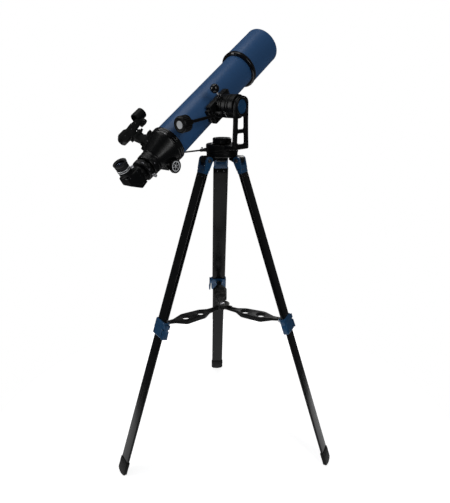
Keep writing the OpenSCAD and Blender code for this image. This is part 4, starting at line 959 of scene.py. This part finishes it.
def build_tray(k):
    at = leg_turn(k) @ move(0, 0, TRAY_HEIGHT)
    q = Piece(f"tray_leaf_{k}", f"tray_{k}", "tray_black", f"tray_arm_{k}")
    leaf = convex(circle(26, 72, 147, 0) + circle(22, 72, 89, 0) + [(188, -9), (190, -9), (190, 9), (188, 9),
        (56, -10), (58, -10), (56, 10), (58, 10)])
    middle = [v for v in leaf if 58.5 < v[0] < 205]
    upper = sorted((v for v in middle if v[1] > 0), key=lambda v: v[0])
    lower = sorted((v for v in middle if v[1] <= 0), key=lambda v: -v[0])
    fork = [(57, -10), (22.6, -10), (22, -9.4), (22, -3.8), (48, -3.8), (48, 3.8), (22, 3.8), (22, 9.4), (22.6, 10),
        (57, 10)]
    tail = [(208, 9), (210, 8.9), (210, -8.9), (208, -9)]
    outline = fork + upper + tail + lower
    holes = [circle(16.2, 64, 89, 0), circle(16.2, 64, 147, 0)]
    q.plate(at, [outline] + holes, -1.5, 1.5, 0.5)
    inner, thin, near = (inset_line(outline, gap) for gap in (2.6, 0.6, 1.9))

    def depth(x):
        steps = ((0, 4), (50, 4.6), (72, 13.5), (172, 13.5), (200, 4), (240, 4))
        for (a, low), (b, high) in zip(steps, steps[1:]):
            if a <= x <= b:
                return -(low + (high - low) * (x - a) / (b - a))

    def level(points, z):
        return [(x, y, z) for x, y in points]

    def under(points, up=0):
        return [(a[0], a[1], depth(b[0]) + up) for a, b in zip(points, outline)]
    q.loft(at, [level(outline, 1.3), under(outline, 0.7), under(thin), under(near), under(inner, 0.6),
        level(inner, 1.5), level(near, 2), level(thin, 2)], closed=True)
    for cx in (89, 147):
        q.lathe(at @ move(cx, 0, 0), [(16.25, -12, 0.3), (18.1, -12, 0.5), (18.1, 1.2), (17.6, 1.7, 0.3),
            (16.8, 1.7, 0.3), (16.25, 1, 0.3)], 72, True)
    q.lathe(at @ move(TRAY_PIN, 0, 0) @ Z_TO_BACK, [(2.6, -8.6, 0.3), (4.6, -8.6, 0.6), (4.6, 8.6, 0.6),
        (2.6, 8.6, 0.3)], 40, True)
    q.block(at, (206, -8.6, -3), (214.6, 8.6, 3), 0.8, 2)
    for x0, x1, z in ((60, 71, -8), (106, 130, -10), (164, 180, -10)):
        q.block(at, (x0, -1.1, z), (x1, 1.1, -1.2), 0.3, 1)
    q.done()


for leg in LEGS:
    build_leg(leg)
    build_tray(leg)

p = Piece("tray_boss", "tray_centre", "tray_black", "tray_hub")
for k in LEGS:
    p.block(leg_turn(k) @ move(0, 0, TRAY_HEIGHT), (0, -3, -8), (38, 3, 9.4), 0.8, 2)
AT = move(0, 0, TRAY_HEIGHT)
p.lathe(AT, [(0, -12), (6.4, -12, 0.6), (7.5, -11, 0.5), (7.5, 9.2), (24.2, 9.2, 0.8), (26, 10.4, 0.8),
    (25.6, 12.2, 0.8), (23, 13, 0.6), (14, 13, 0.4), (13, 12.5, 0.3), (0, 12.5)], 96)
p.lathe(AT, rod(8.6, 12.4, 13.2, 0, 0.3), 48, material="bare_steel")
p.plate(AT, [hexagon(5.9)], 13.1, 15.9, 0.5, "bare_steel")
p.done()

# --- remaining frame parts ---

KEPT_NODES = {"focus_rack": "aluminium_rack", "focus_pinion": "bare_steel", "diagonal_mirror": "mirror_coating"}
for node, material in KEPT_NODES.items():
    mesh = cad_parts[node].data
    mesh.materials.clear()
    mesh.materials.append(MATERIAL[material])

# --- floor, light and camera ---

FLOOR_RADIUS = 0.9

look = Nodes("pale_floor")
pale = look.mix(look.span(look.noise(0.8, 3), 0.3, 0.7, 0, 1), (0.6, 0.6, 0.605), (0.62, 0.62, 0.62))
reach = look.add("ShaderNodeVectorMath", {0: look.place}, operation="LENGTH").outputs["Value"]
look.put(look.bsdf, {"Base Color": pale, "Roughness": 0.85, "Specular IOR Level": 0.15,
    "Emission Color": (1, 1, 1, 1), "Emission Strength": look.span(reach, 0.45, 0.75, 0.8, 1.05)})
mesh = MESHES.new("studio_floor")
rim = [(FLOOR_RADIUS * cos(2 * pi * i / 96), FLOOR_RADIUS * sin(2 * pi * i / 96), 0) for i in range(96)]
mesh.from_pydata(rim, [], [list(range(96))])
mesh.materials.append(look.m)
new_object("studio_floor", mesh)

world = bpy.data.worlds.new("studio")
bpy.context.scene.world = world
world.use_nodes = True
tree = world.node_tree
backdrop = tree.nodes["Background"]
backdrop.inputs["Color"].default_value = (1, 1, 1, 1)
backdrop.inputs["Strength"].default_value = 1
ambient = tree.nodes.new("ShaderNodeBackground")
ambient.inputs["Color"].default_value = (0.95, 0.97, 1, 1)
ambient.inputs["Strength"].default_value = 0.07
seen = tree.nodes.new("ShaderNodeLightPath")
choose = tree.nodes.new("ShaderNodeMixShader")
tree.links.new(seen.outputs["Is Camera Ray"], choose.inputs[0])
tree.links.new(ambient.outputs[0], choose.inputs[1])
tree.links.new(backdrop.outputs[0], choose.inputs[2])
tree.links.new(choose.outputs[0], tree.nodes["World Output"].inputs["Surface"])


def softbox(name, place, target, size, power, tall=None):
    data = bpy.data.lights.new(name, "AREA")
    data.energy = power
    data.shape = "RECTANGLE"
    data.size = size
    data.size_y = tall or size
    lamp = new_object(name, data)
    lamp.location = place
    lamp.rotation_euler = (Vector(target) - Vector(place)).to_track_quat("-Z", "Y").to_euler()


softbox("key_softbox", (2.9, -0.9, 2.3), (0, 0, 0.9), 0.8, 30, 2.2)
softbox("fill_softbox", (-2.1, -2.6, 1.9), (0, 0, 0.9), 0.7, 38, 2.2)
softbox("top_softbox", (-0.6, -0.5, 3.9), (0, 0, 0.6), 2, 26)
softbox("rim_softbox", (-1.2, 3.2, 2.4), (0, 0, 0.9), 1.4, 30)

camera_data = bpy.data.cameras.new("photo_camera")
camera_data.sensor_width = 36
camera_data.lens = 33.84
camera = new_object("photo_camera", camera_data)
camera.location = (0.96967, -1.1551, 1.25548)
CAMERA_TURN, CAMERA_DOWN, CAMERA_ROLL = 39.6485, 19.4014, 0.0668
camera.rotation_euler = (turn('Z', CAMERA_TURN) @ turn('X', 90 - CAMERA_DOWN)
                         @ turn('Z', CAMERA_ROLL)).to_euler()
bpy.context.scene.camera = camera
bpy.context.scene.view_settings.view_transform = "Standard"
